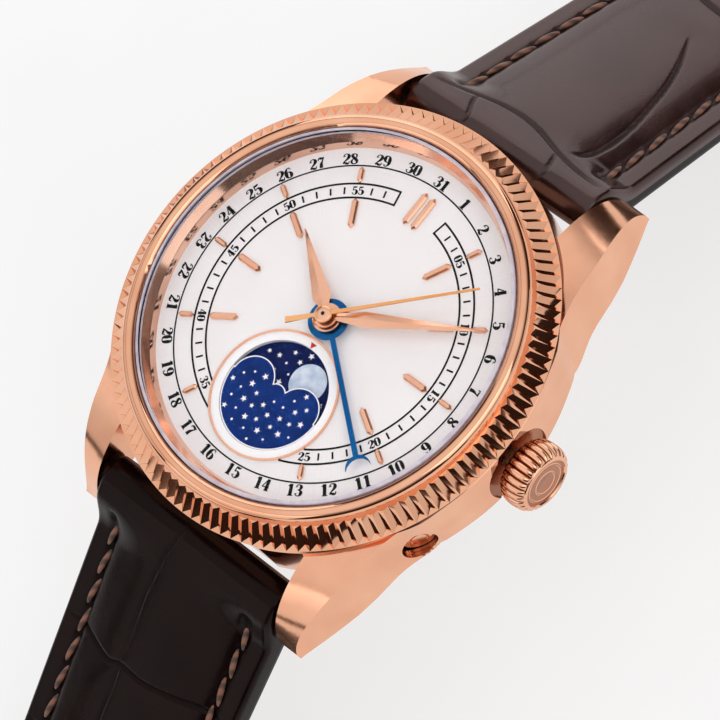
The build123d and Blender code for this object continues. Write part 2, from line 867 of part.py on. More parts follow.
# Dial with its round window for the moon
with BuildPart() as dial:
    with BuildSketch(Plane.XY.offset(dial_foot_z)):
        Circle(dial_radius)
        Circle(dial_bore_radius, mode=Mode.SUBTRACT)
        with Locations((0, moon_y)):
            Circle(moon_window_radius, mode=Mode.SUBTRACT)
    extrude(amount=dial_height)

with BuildPart() as subdial_ring:
    with BuildSketch(Plane.XY.offset(dial_z)):
        with Locations((0, moon_y)):
            Circle(subdial_ring_radius)
            Circle(subdial_ring_radius - subdial_ring_width, mode=Mode.SUBTRACT)
    extrude(amount=subdial_ring_height)

# Moon mask: the lower half of a disc, with two humps and a small middle bump on top
with BuildPart() as moon_mask:
    with BuildSketch(Plane.XY.offset(dial_z - mask_drop - mask_height)):
        with Locations((0, moon_y)):
            Rectangle(2 * moon_window_radius, moon_window_radius, align=(Align.CENTER, Align.MAX))
            Circle(mask_middle_radius)
        with Locations((hump_x, moon_y), (-hump_x, moon_y)):
            Circle(hump_radius)
        with Locations((0, moon_y)):
            Circle(moon_window_radius - seat_fit, mode=Mode.INTERSECT)
    extrude(amount=mask_height)


def roofed_baton(radius, length, width, angle, height=index_height):
    """A baton along a radius with pointed ends and a ridge along its top."""
    half = width / 2
    with BuildPart() as baton:
        with BuildSketch(Plane.XY.offset(dial_z)):
            with BuildLine():
                Polyline(
                    (radius, 0),
                    (radius + half, half),
                    (radius + length - half, half),
                    (radius + length, 0),
                    (radius + length - half, -half),
                    (radius + half, -half),
                    close=True,
                )
            make_face()
        extrude(amount=height)
        top_edges = baton.faces().sort_by(Axis.Z)[-1].edges()
        chamfer(top_edges, length=half * index_roof_share)
    return baton.part.rotate(Axis.Z, clock(angle))


outer_hours = [hour for hour in range(1, 12) if hour != 6]
inner_hours = [hour for hour in range(1, 12) if hour not in (5, 6, 7)]
outer_stubs = [
    roofed_baton(outer_index_radius, outer_index_length, outer_index_width, 30 * hour)
    for hour in outer_hours
]
inner_batons = [
    roofed_baton(inner_index_radius, inner_index_length, inner_index_width, 30 * hour)
    for hour in inner_hours
]
twelve_baton = roofed_baton(twelve_marker_radius, twelve_marker_length, twelve_marker_width, 0)
twelve_offset = (twelve_marker_gap + twelve_marker_width) / 2

with BuildPart() as outer_indices:
    add(outer_stubs)

with BuildPart() as inner_indices:
    add(inner_batons)

with BuildPart() as twelve_marker:
    add([twelve_baton.moved(Location((side * twelve_offset, 0, 0))) for side in (-1, 1)])


def lance_hand(length, width, hub, bore, rise, angle):
    """A hand widest near its root, with a ridge along the blade and a round hub."""
    foot_z = dial_z + rise
    stations = (
        (hub * hand_ridge_share, hand_neck_width),
        (length * hand_widest_share, width),
        (length, hand_neck_width * hand_tip_share),
    )
    with BuildPart() as hand:
        for along, across in stations:
            with BuildSketch(Plane.YZ.offset(along)):
                with BuildLine():
                    Polyline(
                        (-across / 2, foot_z),
                        (across / 2, foot_z),
                        (across / 2, foot_z + hand_height * hand_edge_share),
                        (0, foot_z + hand_height),
                        (-across / 2, foot_z + hand_height * hand_edge_share),
                        close=True,
                    )
                make_face()
        loft(ruled=True)
        with BuildSketch(Plane.XY.offset(foot_z)):
            Circle(hub)
        extrude(amount=hand_height)
        with BuildSketch(Plane.XY.offset(foot_z)):
            Circle(bore)
        extrude(amount=hand_height, mode=Mode.SUBTRACT)
        add(hand.part.rotate(Axis.Z, clock(angle)), mode=Mode.REPLACE)
    return hand


hour_hand = lance_hand(
    hour_hand_length, hour_hand_width, hour_hub_radius, hour_tube_radius, hour_hand_rise, hour_hand_angle
)
minute_hand = lance_hand(
    minute_hand_length,
    minute_hand_width,
    minute_hub_radius,
    cannon_radius,
    minute_hand_rise,
    minute_hand_angle,
)

with BuildPart() as second_hand:
    with BuildSketch(Plane.XY.offset(dial_z + second_hand_rise)):
        with BuildLine():
            Polyline(
                (-second_hand_tail, second_tail_width / 2),
                (-second_hub_radius, second_hand_width / 2),
                (second_hub_radius, second_hand_width / 2),
                (second_hand_length, second_hand_width / 4),
                (second_hand_length, -second_hand_width / 4),
                (second_hub_radius, -second_hand_width / 2),
                (-second_hub_radius, -second_hand_width / 2),
                (-second_hand_tail, -second_tail_width / 2),
                close=True,
            )
        make_face()
        Circle(second_hub_radius)
    extrude(amount=hand_height)
    add(second_hand.part.rotate(Axis.Z, clock(second_hand_angle)), mode=Mode.REPLACE)

# Date hand: a ring hub, a thin shaft and an open crescent that frames the date
date_tip_x = crescent_centre_radius + crescent_bite_offset
with BuildPart() as date_hand:
    with BuildSketch(Plane.XY.offset(dial_z + date_hand_rise)):
        with Locations((crescent_centre_radius, 0)):
            Circle(crescent_radius)
        with Locations((date_tip_x, 0)):
            Circle(crescent_bite_radius, mode=Mode.SUBTRACT)
        shaft_end = crescent_centre_radius - crescent_radius + hand_neck_width / 2
        with Locations((shaft_end / 2, 0)):
            Rectangle(shaft_end, date_hand_width)
        Circle(date_hub_radius)
        Circle(date_tube_radius, mode=Mode.SUBTRACT)
    extrude(amount=hand_height)
    add(date_hand.part.rotate(Axis.Z, clock(date_hand_angle)), mode=Mode.REPLACE)


def layered(place, layers, bore=0, crossing=0):
    """A wheel built of layers, each a foot height, a thickness and a radius or outline."""
    with BuildPart() as piece:
        for foot, height, shape in layers:
            with BuildSketch(Plane((place[0], place[1], foot))):
                if isinstance(shape, list):
                    with BuildLine():
                        Polyline(*shape, close=True)
                    make_face()
                else:
                    Circle(shape)
            extrude(amount=height)
        foot_z = min(layer[0] for layer in layers)
        top_z = max(layer[0] + layer[1] for layer in layers)
        if bore:
            with BuildSketch(Plane((place[0], place[1], foot_z))):
                Circle(bore)
            extrude(amount=top_z - foot_z, mode=Mode.SUBTRACT)
        if crossing:
            with BuildSketch(Plane((place[0], place[1], foot_z))):
                with PolarLocations(crossing * crossing_centre_share, crossing_count):
                    Circle(crossing * crossing_size_share)
            extrude(amount=top_z - foot_z, mode=Mode.SUBTRACT)
    return piece


# Main plate: a disc with a rim on the bridge side, a barrel pocket and the stem channel
barrel_pitch_radius = barrel_teeth * barrel_module / 2
barrel_tip_radius = barrel_pitch_radius + barrel_module
pocket_radius = barrel_tip_radius + barrel_recess_gap
barrel_top_z = train_z + barrel_rise + barrel_drum_height
with BuildPart() as mainplate:
    with BuildSketch(Plane.XY.offset(train_z)):
        Circle(movement_radius)
        Circle(rim_inner_radius, mode=Mode.SUBTRACT)
    extrude(amount=train_height)
    with BuildSketch(Plane.XY.offset(plate_z)):
        Circle(movement_radius)
    extrude(amount=plate_height)
    with BuildSketch(Plane.XY.offset(plate_z)):
        with Locations(barrel_place):
            Circle(pocket_radius)
    extrude(amount=barrel_top_z + barrel_recess_gap - plate_z, mode=Mode.SUBTRACT)
    with BuildSketch(Plane.XY.offset(plate_z)):
        Circle(plate_centre_bore)
        with Locations(barrel_place, third_place, escape_place, pallet_place, balance_place):
            Circle(pivot_hole_radius)
    extrude(amount=plate_height, mode=Mode.SUBTRACT)
    with BuildSketch(Plane.YZ.offset(stem_channel_inner_x)):
        with Locations((0, stem_z)):
            Circle(stem_channel_radius)
    extrude(amount=movement_radius - stem_channel_inner_x, mode=Mode.SUBTRACT)
    with BuildSketch(Plane.XY.offset(calendar_z)):
        with Locations(minute_place, driver_place):
            Circle(post_radius)
    extrude(amount=date_level - running_fit)
    with BuildSketch(Plane.XY.offset(calendar_z)):
        with Locations(moon_place):
            Circle(post_radius)
    extrude(amount=moon_level + moon_disc_height)

with BuildPart() as movement_ring:
    with BuildSketch(Plane.XY.offset(back_flange_height + back_neck_height + seat_fit)):
        Circle(case_bore_radius - seat_fit)
        Circle(movement_radius + seat_fit, mode=Mode.SUBTRACT)
    extrude(amount=dial_foot_z - back_flange_height - back_neck_height - seat_fit)
    with BuildSketch(Plane.YZ.offset(movement_radius - overrun)):
        with Locations((0, stem_z)):
            Circle(tube_radius + seat_fit)
    extrude(amount=case_bore_radius - movement_radius + overrun, mode=Mode.SUBTRACT)
    with BuildSketch(corrector_plane.offset(movement_radius - overrun)):
        Circle(corrector_stem_radius + running_fit)
    extrude(amount=case_bore_radius - movement_radius + overrun * 2, mode=Mode.SUBTRACT)

# Bridges: one over barrel and train, cut away round the balance, and the balance cock
balance_clear_radius = balance_radius + balance_clearance
balance_z = train_z - balance_rise
hairspring_z = balance_z - hairspring_gap - hairspring_height
hairspring_radius = hairspring_inner_radius + hairspring_turns * hairspring_pitch
stud_distance = hairspring_radius + hairspring_strip + stud_radius
cock_angle = escape_angle
with BuildPart() as train_bridge:
    with BuildSketch(Plane.XY.offset(bridge_z)):
        Circle(bridge_radius)
        with Locations(balance_place):
            Circle(balance_clear_radius, mode=Mode.SUBTRACT)
        cock_slot = (cock_foot_width + 2 * bridge_split_width, 2 * balance_clear_radius)
        with Locations(polar(bridge_radius, cock_angle)):
            Rectangle(*cock_slot, rotation=cock_angle + 90, mode=Mode.SUBTRACT)
        with Locations((winding_pinion_x, 0)):
            Rectangle(
                winding_pinion_length + 2 * winding_pinion_clearance,
                2 * (winding_pinion_radius + winding_pinion_clearance),
                mode=Mode.SUBTRACT,
            )
        with Locations(third_place, escape_place):
            Circle(jewel_radius, mode=Mode.SUBTRACT)
        with Locations(centre_place):
            Circle(pivot_hole_radius, mode=Mode.SUBTRACT)
        with Locations(barrel_place):
            Circle(barrel_arbor_radius + running_fit, mode=Mode.SUBTRACT)
    extrude(amount=bridge_height)
    with BuildSketch(Plane.XY.offset(winding_z)):
        with Locations(crown_wheel_place):
            Circle(winding_screw_radius)
    extrude(amount=bridge_z - winding_z)

with BuildPart() as balance_cock:
    with BuildSketch(Plane.XY.offset(winding_z)):
        with Locations(balance_place):
            Circle(cock_hub_radius)
        cock_reach = bridge_radius - hypot(*balance_place)
        with Locations(polar(hypot(*balance_place) + cock_reach / 2, cock_angle)):
            Rectangle(cock_arm_width, cock_reach, rotation=cock_angle + 90)
        with Locations(polar(bridge_radius - plate_rim_wall, cock_angle)):
            Rectangle(cock_foot_width, 2 * plate_rim_wall, rotation=cock_angle + 90)
        Circle(bridge_radius, mode=Mode.INTERSECT)
        with Locations(balance_place):
            Circle(jewel_radius, mode=Mode.SUBTRACT)
    extrude(amount=cock_height)
    with BuildSketch(Plane.XY.offset(winding_z)):
        with Locations(polar(bridge_radius - plate_rim_wall, cock_angle)):
            Rectangle(cock_foot_width, 2 * plate_rim_wall, rotation=cock_angle + 90)
        Circle(bridge_radius, mode=Mode.INTERSECT)
        Circle(rim_inner_radius, mode=Mode.SUBTRACT)
    extrude(amount=train_z - winding_z)
    with BuildSketch(Plane.XY.offset(winding_z)):
        with Locations(polar(hypot(*balance_place) + stud_distance, cock_angle)):
            Circle(stud_radius)
    extrude(amount=hairspring_z + hairspring_height - winding_z)

with BuildPart() as jewels:
    with BuildSketch(Plane.XY.offset(bridge_z)):
        with Locations(third_place, escape_place):
            Circle(jewel_radius - seat_fit)
            Circle(pivot_hole_radius, mode=Mode.SUBTRACT)
    extrude(amount=bridge_height)
    with BuildSketch(Plane.XY.offset(winding_z)):
        with Locations(balance_place):
            Circle(jewel_radius - seat_fit)
            Circle(pivot_hole_radius, mode=Mode.SUBTRACT)
    extrude(amount=cock_height)

with BuildPart() as bridge_screws:
    with BuildSketch(Plane.XY.offset(bridge_z - screw_head_height)):
        for angle in screw_angles:
            with Locations(polar(screw_ring_radius, angle)):
                Circle(screw_head_radius)
    extrude(amount=screw_head_height)
    with BuildSketch(Plane.XY.offset(bridge_z - screw_head_height)):
        for angle in screw_angles:
            with Locations(polar(screw_ring_radius, angle)):
                Rectangle(2 * screw_head_radius, screw_slot_width, rotation=angle)
    extrude(amount=screw_slot_depth, mode=Mode.SUBTRACT)

# Going train, from the barrel to the escape wheel
arbor_foot_z = bridge_z + seat_fit
arbor_top_z = calendar_z - seat_fit
barrel_foot_z = train_z + barrel_rise
centre_foot_z = train_z + centre_wheel_rise
centre_pinion_z = train_z + centre_pinion_rise
third_foot_z = train_z + third_wheel_rise
fourth_foot_z = train_z + fourth_wheel_rise
escape_foot_z = train_z + escape_wheel_rise
centre_tube_radius = second_arbor_radius + tube_gap + tube_wall
barrel = layered(
    barrel_place,
    (
        (barrel_foot_z, barrel_flange_height, wheel_outline(barrel_teeth, barrel_module, barrel_phase)),
        (barrel_foot_z, barrel_drum_height, barrel_pitch_radius * barrel_drum_share),
    ),
    bore=barrel_arbor_radius + running_fit,
)
centre_wheel = layered(
    centre_place,
    (
        (centre_foot_z, wheel_height, wheel_outline(centre_teeth, centre_module, centre_phase)),
        (centre_foot_z, centre_pinion_z - centre_foot_z, centre_tube_radius),
        (
            centre_pinion_z,
            pinion_height + pinion_lap,
            pinion_outline(centre_pinion_teeth, barrel_module, centre_pinion_phase),
        ),
        (centre_pinion_z, calendar_z - seat_fit - centre_pinion_z, centre_tube_radius),
    ),
    bore=second_arbor_radius + tube_gap,
    crossing=centre_teeth * centre_module / 2,
)
third_wheel = layered(
    third_place,
    (
        (arbor_foot_z, arbor_top_z - arbor_foot_z, pivot_radius),
        (third_foot_z, wheel_height, wheel_outline(third_teeth, third_module, third_phase)),
        (
            centre_foot_z - pinion_lap,
            pinion_height,
            pinion_outline(third_pinion_teeth, centre_module, third_pinion_phase),
        ),
    ),
)
fourth_wheel = layered(
    centre_place,
    (
        (arbor_foot_z, dial_z + second_hand_rise - arbor_foot_z, second_arbor_radius),
        (fourth_foot_z, wheel_height, wheel_outline(fourth_teeth, fourth_module, fourth_phase)),
        (
            third_foot_z - pinion_lap,
            pinion_height,
            pinion_outline(fourth_pinion_teeth, third_module, fourth_pinion_phase),
        ),
    ),
)
escape_wheel = layered(
    escape_place,
    (
        (arbor_foot_z, arbor_top_z - arbor_foot_z, pivot_radius),
        (
            escape_foot_z,
            wheel_height,
            pointed_teeth(escape_wheel_teeth, escape_wheel_radius, escape_wheel_radius - escape_tooth_depth),
        ),
        (
            fourth_foot_z - pinion_lap,
            pinion_height,
            pinion_outline(escape_pinion_teeth, fourth_module, escape_pinion_phase),
        ),
    ),
)

# Pallet fork: an anchor with two stones and a forked lever that reaches the balance
stone_centre = escape_wheel_radius + pallet_stone_gap + pallet_stone_length / 2
stone_x = stone_centre * cos(radians(pallet_span_angle / 2)) - pallet_distance
stone_y = stone_centre * sin(radians(pallet_span_angle / 2))
fork_plane = Plane(
    origin=(*pallet_place, escape_foot_z),
    x_dir=(cos(radians(escape_angle)), sin(radians(escape_angle)), 0),
    z_dir=(0, 0, 1),
)
with BuildPart() as pallet_fork:
    with BuildSketch(fork_plane):
        Rectangle(pallet_width, 2 * stone_y)
        with Locations((fork_length / 2, 0)):
            Rectangle(fork_length, pallet_width)
        with Locations((fork_length - fork_width / 2, 0)):
            Rectangle(fork_width, fork_width)
        with Locations((stone_x, stone_y)):
            Rectangle(pallet_stone_length, pallet_stone_width, rotation=pallet_span_angle / 2)
        with Locations((stone_x, -stone_y)):
            Rectangle(pallet_stone_length, pallet_stone_width, rotation=-pallet_span_angle / 2)
        with Locations((fork_length, 0)):
            Rectangle(fork_width, fork_slot_width, mode=Mode.SUBTRACT)
        with Locations((-pallet_distance, 0)):
            Circle(escape_wheel_radius + pallet_stone_gap, mode=Mode.SUBTRACT)
    extrude(amount=wheel_height)
    pallet_arbor_z = balance_z + balance_rim_height + running_fit
    with BuildSketch(Plane.XY.offset(pallet_arbor_z)):
        with Locations(pallet_place):
            Circle(pivot_radius)
    extrude(amount=arbor_top_z - pallet_arbor_z)

# Balance: rim, two arms, staff with collet and roller, and its flat spiral spring
with BuildPart() as balance_wheel:
    with BuildSketch(Plane.XY.offset(balance_z)):
        with Locations(balance_place):
            Circle(balance_radius)
            Circle(balance_radius - balance_rim_wall, mode=Mode.SUBTRACT)
            Rectangle(2 * balance_radius - balance_rim_wall, balance_arm_width)
            Circle(balance_hub_radius)
    extrude(amount=balance_rim_height)
    with BuildSketch(Plane.XY.offset(winding_z + seat_fit)):
        with Locations(balance_place):
            Circle(pivot_radius)
    extrude(amount=arbor_top_z - winding_z - seat_fit)
    with BuildSketch(Plane.XY.offset(hairspring_z)):
        with Locations(balance_place):
            Circle(hairspring_inner_radius)
    extrude(amount=balance_z - hairspring_z)
    with BuildSketch(Plane.XY.offset(balance_z)):
        with Locations(balance_place):
            Circle(roller_radius)
    extrude(amount=escape_foot_z + wheel_height - balance_z)

spiral = []
for step in range(hairspring_turns * hairspring_steps + 1):
    turn = step / hairspring_steps
    spiral.append((hairspring_inner_radius + turn * hairspring_pitch, 360 * turn + escape_angle))
spiral_inner = [polar(radius, angle) for radius, angle in spiral]
spiral_outer = [polar(radius + hairspring_strip, angle) for radius, angle in spiral]
with BuildPart() as hairspring:
    with BuildSketch(Plane((*balance_place, hairspring_z))):
        with BuildLine():
            Polyline(*spiral_inner, *reversed(spiral_outer), close=True)
        make_face()
    extrude(amount=hairspring_height)
print("hairspring gap between turns", round(hairspring_pitch - hairspring_strip, 3))

# Winding: ratchet wheel with the barrel arbor, crown wheel and pinion on the stem
ratchet_wheel = layered(
    barrel_place,
    (
        (winding_z, winding_wheel_height, wheel_outline(ratchet_teeth, winding_module, ratchet_phase)),
        (winding_z, barrel_top_z - winding_z, barrel_arbor_radius),
        (barrel_top_z, arbor_top_z - barrel_top_z, pivot_radius),
    ),
)
crown_wheel = layered(
    crown_wheel_place,
    (
        (
            winding_z,
            winding_wheel_height,
            wheel_outline(crown_wheel_teeth, winding_module, crown_wheel_phase),
        ),
    ),
    bore=winding_screw_radius + running_fit,
)
winding_pinion_root = winding_pinion_radius - winding_module * 2
winding_pinion_plane = Plane(
    origin=(winding_pinion_foot_x, 0, stem_z), x_dir=(0, 1, 0), z_dir=(1, 0, 0)
)
with BuildPart() as winding_pinion:
    with BuildSketch(winding_pinion_plane):
        with BuildLine():
            Polyline(
                *pointed_teeth(winding_pinion_teeth, winding_pinion_radius, winding_pinion_root),
                close=True,
            )
        make_face()
        Circle(stem_radius + running_fit, mode=Mode.SUBTRACT)
    extrude(amount=winding_pinion_length)

# Rotor: a half disc with windows and a heavy rim, on a bearing post
rotor_plate_z = rotor_z + rotor_plate_rise
with BuildPart() as rotor:
    with BuildSketch(Plane.XY.offset(rotor_plate_z)):
        Circle(rotor_radius)
        with Locations((0, rotor_overhang)):
            Rectangle(2 * rotor_radius, 2 * rotor_radius, align=(Align.CENTER, Align.MIN), mode=Mode.SUBTRACT)
        Circle(rotor_hub_radius)
    extrude(amount=rotor_plate_height)
    with BuildSketch(Plane.XY.offset(rotor_z)):
        Circle(rotor_radius)
        Circle(rotor_radius - rotor_rim_wall, mode=Mode.SUBTRACT)
        with Locations((0, rotor_overhang)):
            Rectangle(2 * rotor_radius, 2 * rotor_radius, align=(Align.CENTER, Align.MIN), mode=Mode.SUBTRACT)
    extrude(amount=rotor_rim_height)
    window_reach = 2 * rotor_window_outer_radius
    with BuildSketch(Plane.XY.offset(rotor_plate_z)):
        for spoke in (-1, 0, 1):
            centre = rotor_window_middle + spoke * (rotor_window_angle + rotor_spoke_angle)
            with BuildLine():
                Polyline(
                    (0, 0),
                    polar(window_reach, centre - rotor_window_angle / 2),
                    polar(window_reach, centre + rotor_window_angle / 2),
                    close=True,
                )
            make_face()
        Circle(rotor_window_outer_radius, mode=Mode.INTERSECT)
        Circle(rotor_window_inner_radius, mode=Mode.SUBTRACT)
    extrude(amount=rotor_plate_height, mode=Mode.SUBTRACT)
    with BuildSketch(Plane.XY.offset(rotor_plate_z)):
        Circle(bearing_core_radius + running_fit)
    extrude(amount=rotor_plate_height, mode=Mode.SUBTRACT)

with BuildPart() as rotor_bearing:
    with BuildSketch(Plane.XY.offset(rotor_plate_z - running_fit - bearing_head_height)):
        Circle(bearing_radius)
    extrude(amount=bearing_head_height)
    with BuildSketch(Plane.XY.offset(rotor_plate_z - running_fit)):
        Circle(bearing_core_radius)
    extrude(amount=bridge_z - rotor_plate_z + running_fit)

# Motion works and calendar works under the dial
motion_z = calendar_z + motion_level
hour_z = calendar_z + hour_level
date_z = calendar_z + date_level
moon_z = calendar_z + moon_level
cannon_pinion = layered(
    centre_place,
    (
        (
            motion_z - pinion_lap,
            pinion_height,
            pinion_outline(cannon_teeth, motion_module, cannon_phase),
        ),
        (motion_z, dial_z + minute_hand_rise + hand_height - motion_z, cannon_radius),
    ),
    bore=second_arbor_radius + tube_gap,
)
minute_wheel = layered(
    minute_place,
    (
        (motion_z, wheel_height, wheel_outline(minute_wheel_teeth, motion_module, minute_phase)),
        (
            motion_z,
            hour_z + wheel_height - motion_z,
            pinion_outline(minute_pinion_teeth, hour_module, minute_pinion_phase),
        ),
    ),
    bore=post_radius + running_fit,
)
hour_wheel = layered(
    centre_place,
    (
        (hour_z, wheel_height, wheel_outline(hour_wheel_teeth, hour_module, hour_phase)),
        (hour_z, dial_z + hour_hand_rise + hand_height - hour_z, hour_tube_radius),
    ),
    bore=cannon_radius + tube_gap,
)
date_root_radius = date_wheel_radius - date_tooth_depth
date_wheel = layered(
    centre_place,
    (
        (date_z, wheel_height, pointed_teeth(date_wheel_teeth, date_wheel_radius, date_root_radius)),
        (date_z, dial_z + date_hand_rise + hand_height - date_z, date_tube_radius),
    ),
    bore=hour_tube_radius + tube_gap,
)
moon_root_radius = moon_disc_radius - moon_tooth_depth
moon_disc = layered(
    moon_place,
    (
        (moon_z, moon_disc_height, pointed_teeth(moon_disc_teeth, moon_disc_radius, moon_root_radius)),
    ),
    bore=post_radius + running_fit,
)

# The 24 hour driver carries one finger for the date wheel and one for the moon disc
date_finger_reach = driver_distance - date_wheel_radius + date_finger_lap
moon_from_driver = hypot(driver_place[0] - moon_place[0], driver_place[1] - moon_place[1])
moon_finger_reach = moon_from_driver - moon_disc_radius + moon_finger_lap
with BuildPart() as date_driver:
    with BuildSketch(Plane((*driver_place, hour_z))):
        with BuildLine():
            Polyline(*wheel_outline(driver_teeth, hour_module, driver_phase), close=True)
        make_face()
        Circle(post_radius + running_fit, mode=Mode.SUBTRACT)
    extrude(amount=wheel_height)
    with BuildSketch(Plane((*driver_place, hour_z + wheel_height))):
        with Locations(polar(date_finger_reach - driver_finger_length / 2, date_finger_angle)):
            Rectangle(driver_finger_length, driver_finger_width, rotation=date_finger_angle)
    extrude(amount=date_z - hour_z)
    with BuildSketch(Plane((*driver_place, hour_z + wheel_height))):
        with Locations(polar(moon_finger_reach - driver_finger_length / 2, moon_finger_angle)):
            Rectangle(driver_finger_length, driver_finger_width, rotation=moon_finger_angle)
    extrude(amount=moon_z + moon_disc_height - hour_z - wheel_height)

# Jumper springs that hold the date wheel and the moon disc at each tooth
with BuildPart() as calendar_jumpers:
    date_jumper_centre = date_wheel_radius + running_fit + jumper_length / 2
    with BuildSketch(Plane.XY.offset(date_z)):
        with Locations(polar(date_jumper_centre, date_jumper_angle)):
            Rectangle(jumper_length, jumper_width, rotation=date_jumper_angle)
    extrude(amount=wheel_height)
    with BuildSketch(Plane.XY.offset(calendar_z)):
        with Locations(polar(date_wheel_radius + running_fit + jumper_length, date_jumper_angle)):
            Circle(jumper_foot_radius)
    extrude(amount=date_z + wheel_height - calendar_z)
    moon_jumper_centre = moon_disc_radius + running_fit + moon_jumper_length / 2
    moon_jumper_end = polar(moon_disc_radius + running_fit + moon_jumper_length, moon_jumper_angle)
    with BuildSketch(Plane((*moon_place, moon_z))):
        with Locations(polar(moon_jumper_centre, moon_jumper_angle)):
            Rectangle(moon_jumper_length, jumper_width, rotation=moon_jumper_angle)
    extrude(amount=moon_disc_height)
    with BuildSketch(Plane((*moon_place, calendar_z))):
        with Locations(moon_jumper_end):
            Circle(jumper_foot_radius)
    extrude(amount=moon_z + moon_disc_height - calendar_z)

# Strap: the bar at the lugs, a straight slope, a bend and a flat run
strap_lift = keeper_wall + keeper_under_gap
bend_drop = strap_bend_radius * (1 - cos(radians(strap_slope)))
bend_length = strap_bend_radius * radians(strap_slope)
flat_centre_z = floor_z + strap_below_bar


def straight_length(lift):
    """Length of the straight slope that brings the flat run to this height over the floor."""
    return (bar_z - flat_centre_z - lift - bend_drop) / sin(radians(strap_slope))


def strap_station(along, lift):
    """Distance from the case middle, height and downward slope at a length along the strap."""
    straight = straight_length(lift)
    slope = strap_slope
    if along <= straight:
        return bar_y + along * cos(radians(slope)), bar_z - along * sin(radians(slope)), slope
    bend_y = bar_y + straight * cos(radians(slope))
    bend_z = bar_z - straight * sin(radians(slope))
    if along <= straight + bend_length:
        slope = strap_slope - degrees((along - straight) / strap_bend_radius)
        y = bend_y + strap_bend_radius * (sin(radians(strap_slope)) - sin(radians(slope)))
        z = bend_z - strap_bend_radius * (cos(radians(slope)) - cos(radians(strap_slope)))
        return y, z, slope
    flat_y = bend_y + strap_bend_radius * sin(radians(strap_slope))
    return flat_y + along - straight - bend_length, flat_centre_z + lift, 0


def strap_half_width(along):
    """Half the strap's width, tapering from the lugs to the buckle."""
    taper = min(along / strap_taper_length, 1)
    return (strap_root_width + (strap_end_width - strap_root_width) * taper) / 2


def strap_tops(along):
    """Heights of the padded middle and of the stitched edge over the bar's centre line."""
    if along == 0:
        return strap_below_bar, strap_below_bar - strap_roll_round
    thinning = min(along / strap_thinning_length, 1)
    crown_top = strap_root_crown + (strap_end_crown - strap_root_crown) * thinning
    edge_top = strap_root_edge + (strap_end_edge - strap_root_edge) * thinning
    return crown_top, edge_top


def strap_half(length, lift, side):
    """Padded half of the strap, crowned between its margins, rolled round its spring bar."""
    straight = straight_length(lift)
    stations = [0, strap_roll_length, straight / 2, straight]
    for step in range(1, strap_bend_steps + 1):
        stations.append(straight + bend_length * step / strap_bend_steps)
    stations += [strap_taper_length, length]
    with BuildPart() as half:
        for along in stations:
            y, z, slope = strap_station(along, lift)
            across = strap_half_width(along)
            crown_top, edge_top = strap_tops(along)
            plane = Plane(
                origin=(0, side * y, z),
                x_dir=(1, 0, 0),
                z_dir=(0, -cos(radians(slope)), side * sin(radians(slope))),
            )
            with BuildSketch(plane):
                with BuildLine():
                    Polyline(
                        (strap_margin - across, edge_top),
                        (-across, edge_top - strap_edge_round),
                        (-across, -strap_below_bar),
                        (across, -strap_below_bar),
                        (across, edge_top - strap_edge_round),
                        (across - strap_margin, edge_top),
                    )
                    ThreePointArc(
                        (across - strap_margin, edge_top), (0, crown_top), (strap_margin - across, edge_top)
                    )
                make_face()
        loft(ruled=True)
        with BuildSketch(Plane.YZ.offset(-strap_root_width / 2)):
            with Locations((side * bar_y, bar_z)):
                Circle(strap_below_bar)
        extrude(amount=strap_root_width)
        with BuildSketch(Plane.YZ.offset(-strap_root_width / 2)):
            with Locations((side * bar_y, bar_z)):
                Circle(bar_radius + running_fit)
        extrude(amount=strap_root_width, mode=Mode.SUBTRACT)
    return half


# Short half: rolled round the buckle bar too, with a slot for the tongue
buckle_y, buckle_centre_z, flat_slope = strap_station(short_half_length, strap_lift)
buckle_z = floor_z + strap_lift + buckle_roll_radius
plain_short_half = strap_half(short_half_length, strap_lift, 1)
with BuildPart() as strap_12_half:
    add(plain_short_half.part)
    with BuildSketch(Plane.YZ.offset(-strap_end_width / 2)):
        with Locations((buckle_y, buckle_z)):
            Circle(buckle_roll_radius)
    extrude(amount=strap_end_width)
    with BuildSketch(Plane.YZ.offset(-strap_end_width / 2)):
        with Locations((buckle_y, buckle_z)):
            Circle(buckle_bar_radius + running_fit)
    extrude(amount=strap_end_width, mode=Mode.SUBTRACT)
    with BuildSketch(Plane.XY.offset(floor_z)):
        with Locations((0, buckle_y + buckle_roll_radius + overrun)):
            Rectangle(
                tongue_slot_width,
                tongue_slot_length + buckle_roll_radius + overrun,
                align=(Align.CENTER, Align.MAX),
            )
    extrude(amount=bar_z - floor_z, mode=Mode.SUBTRACT)

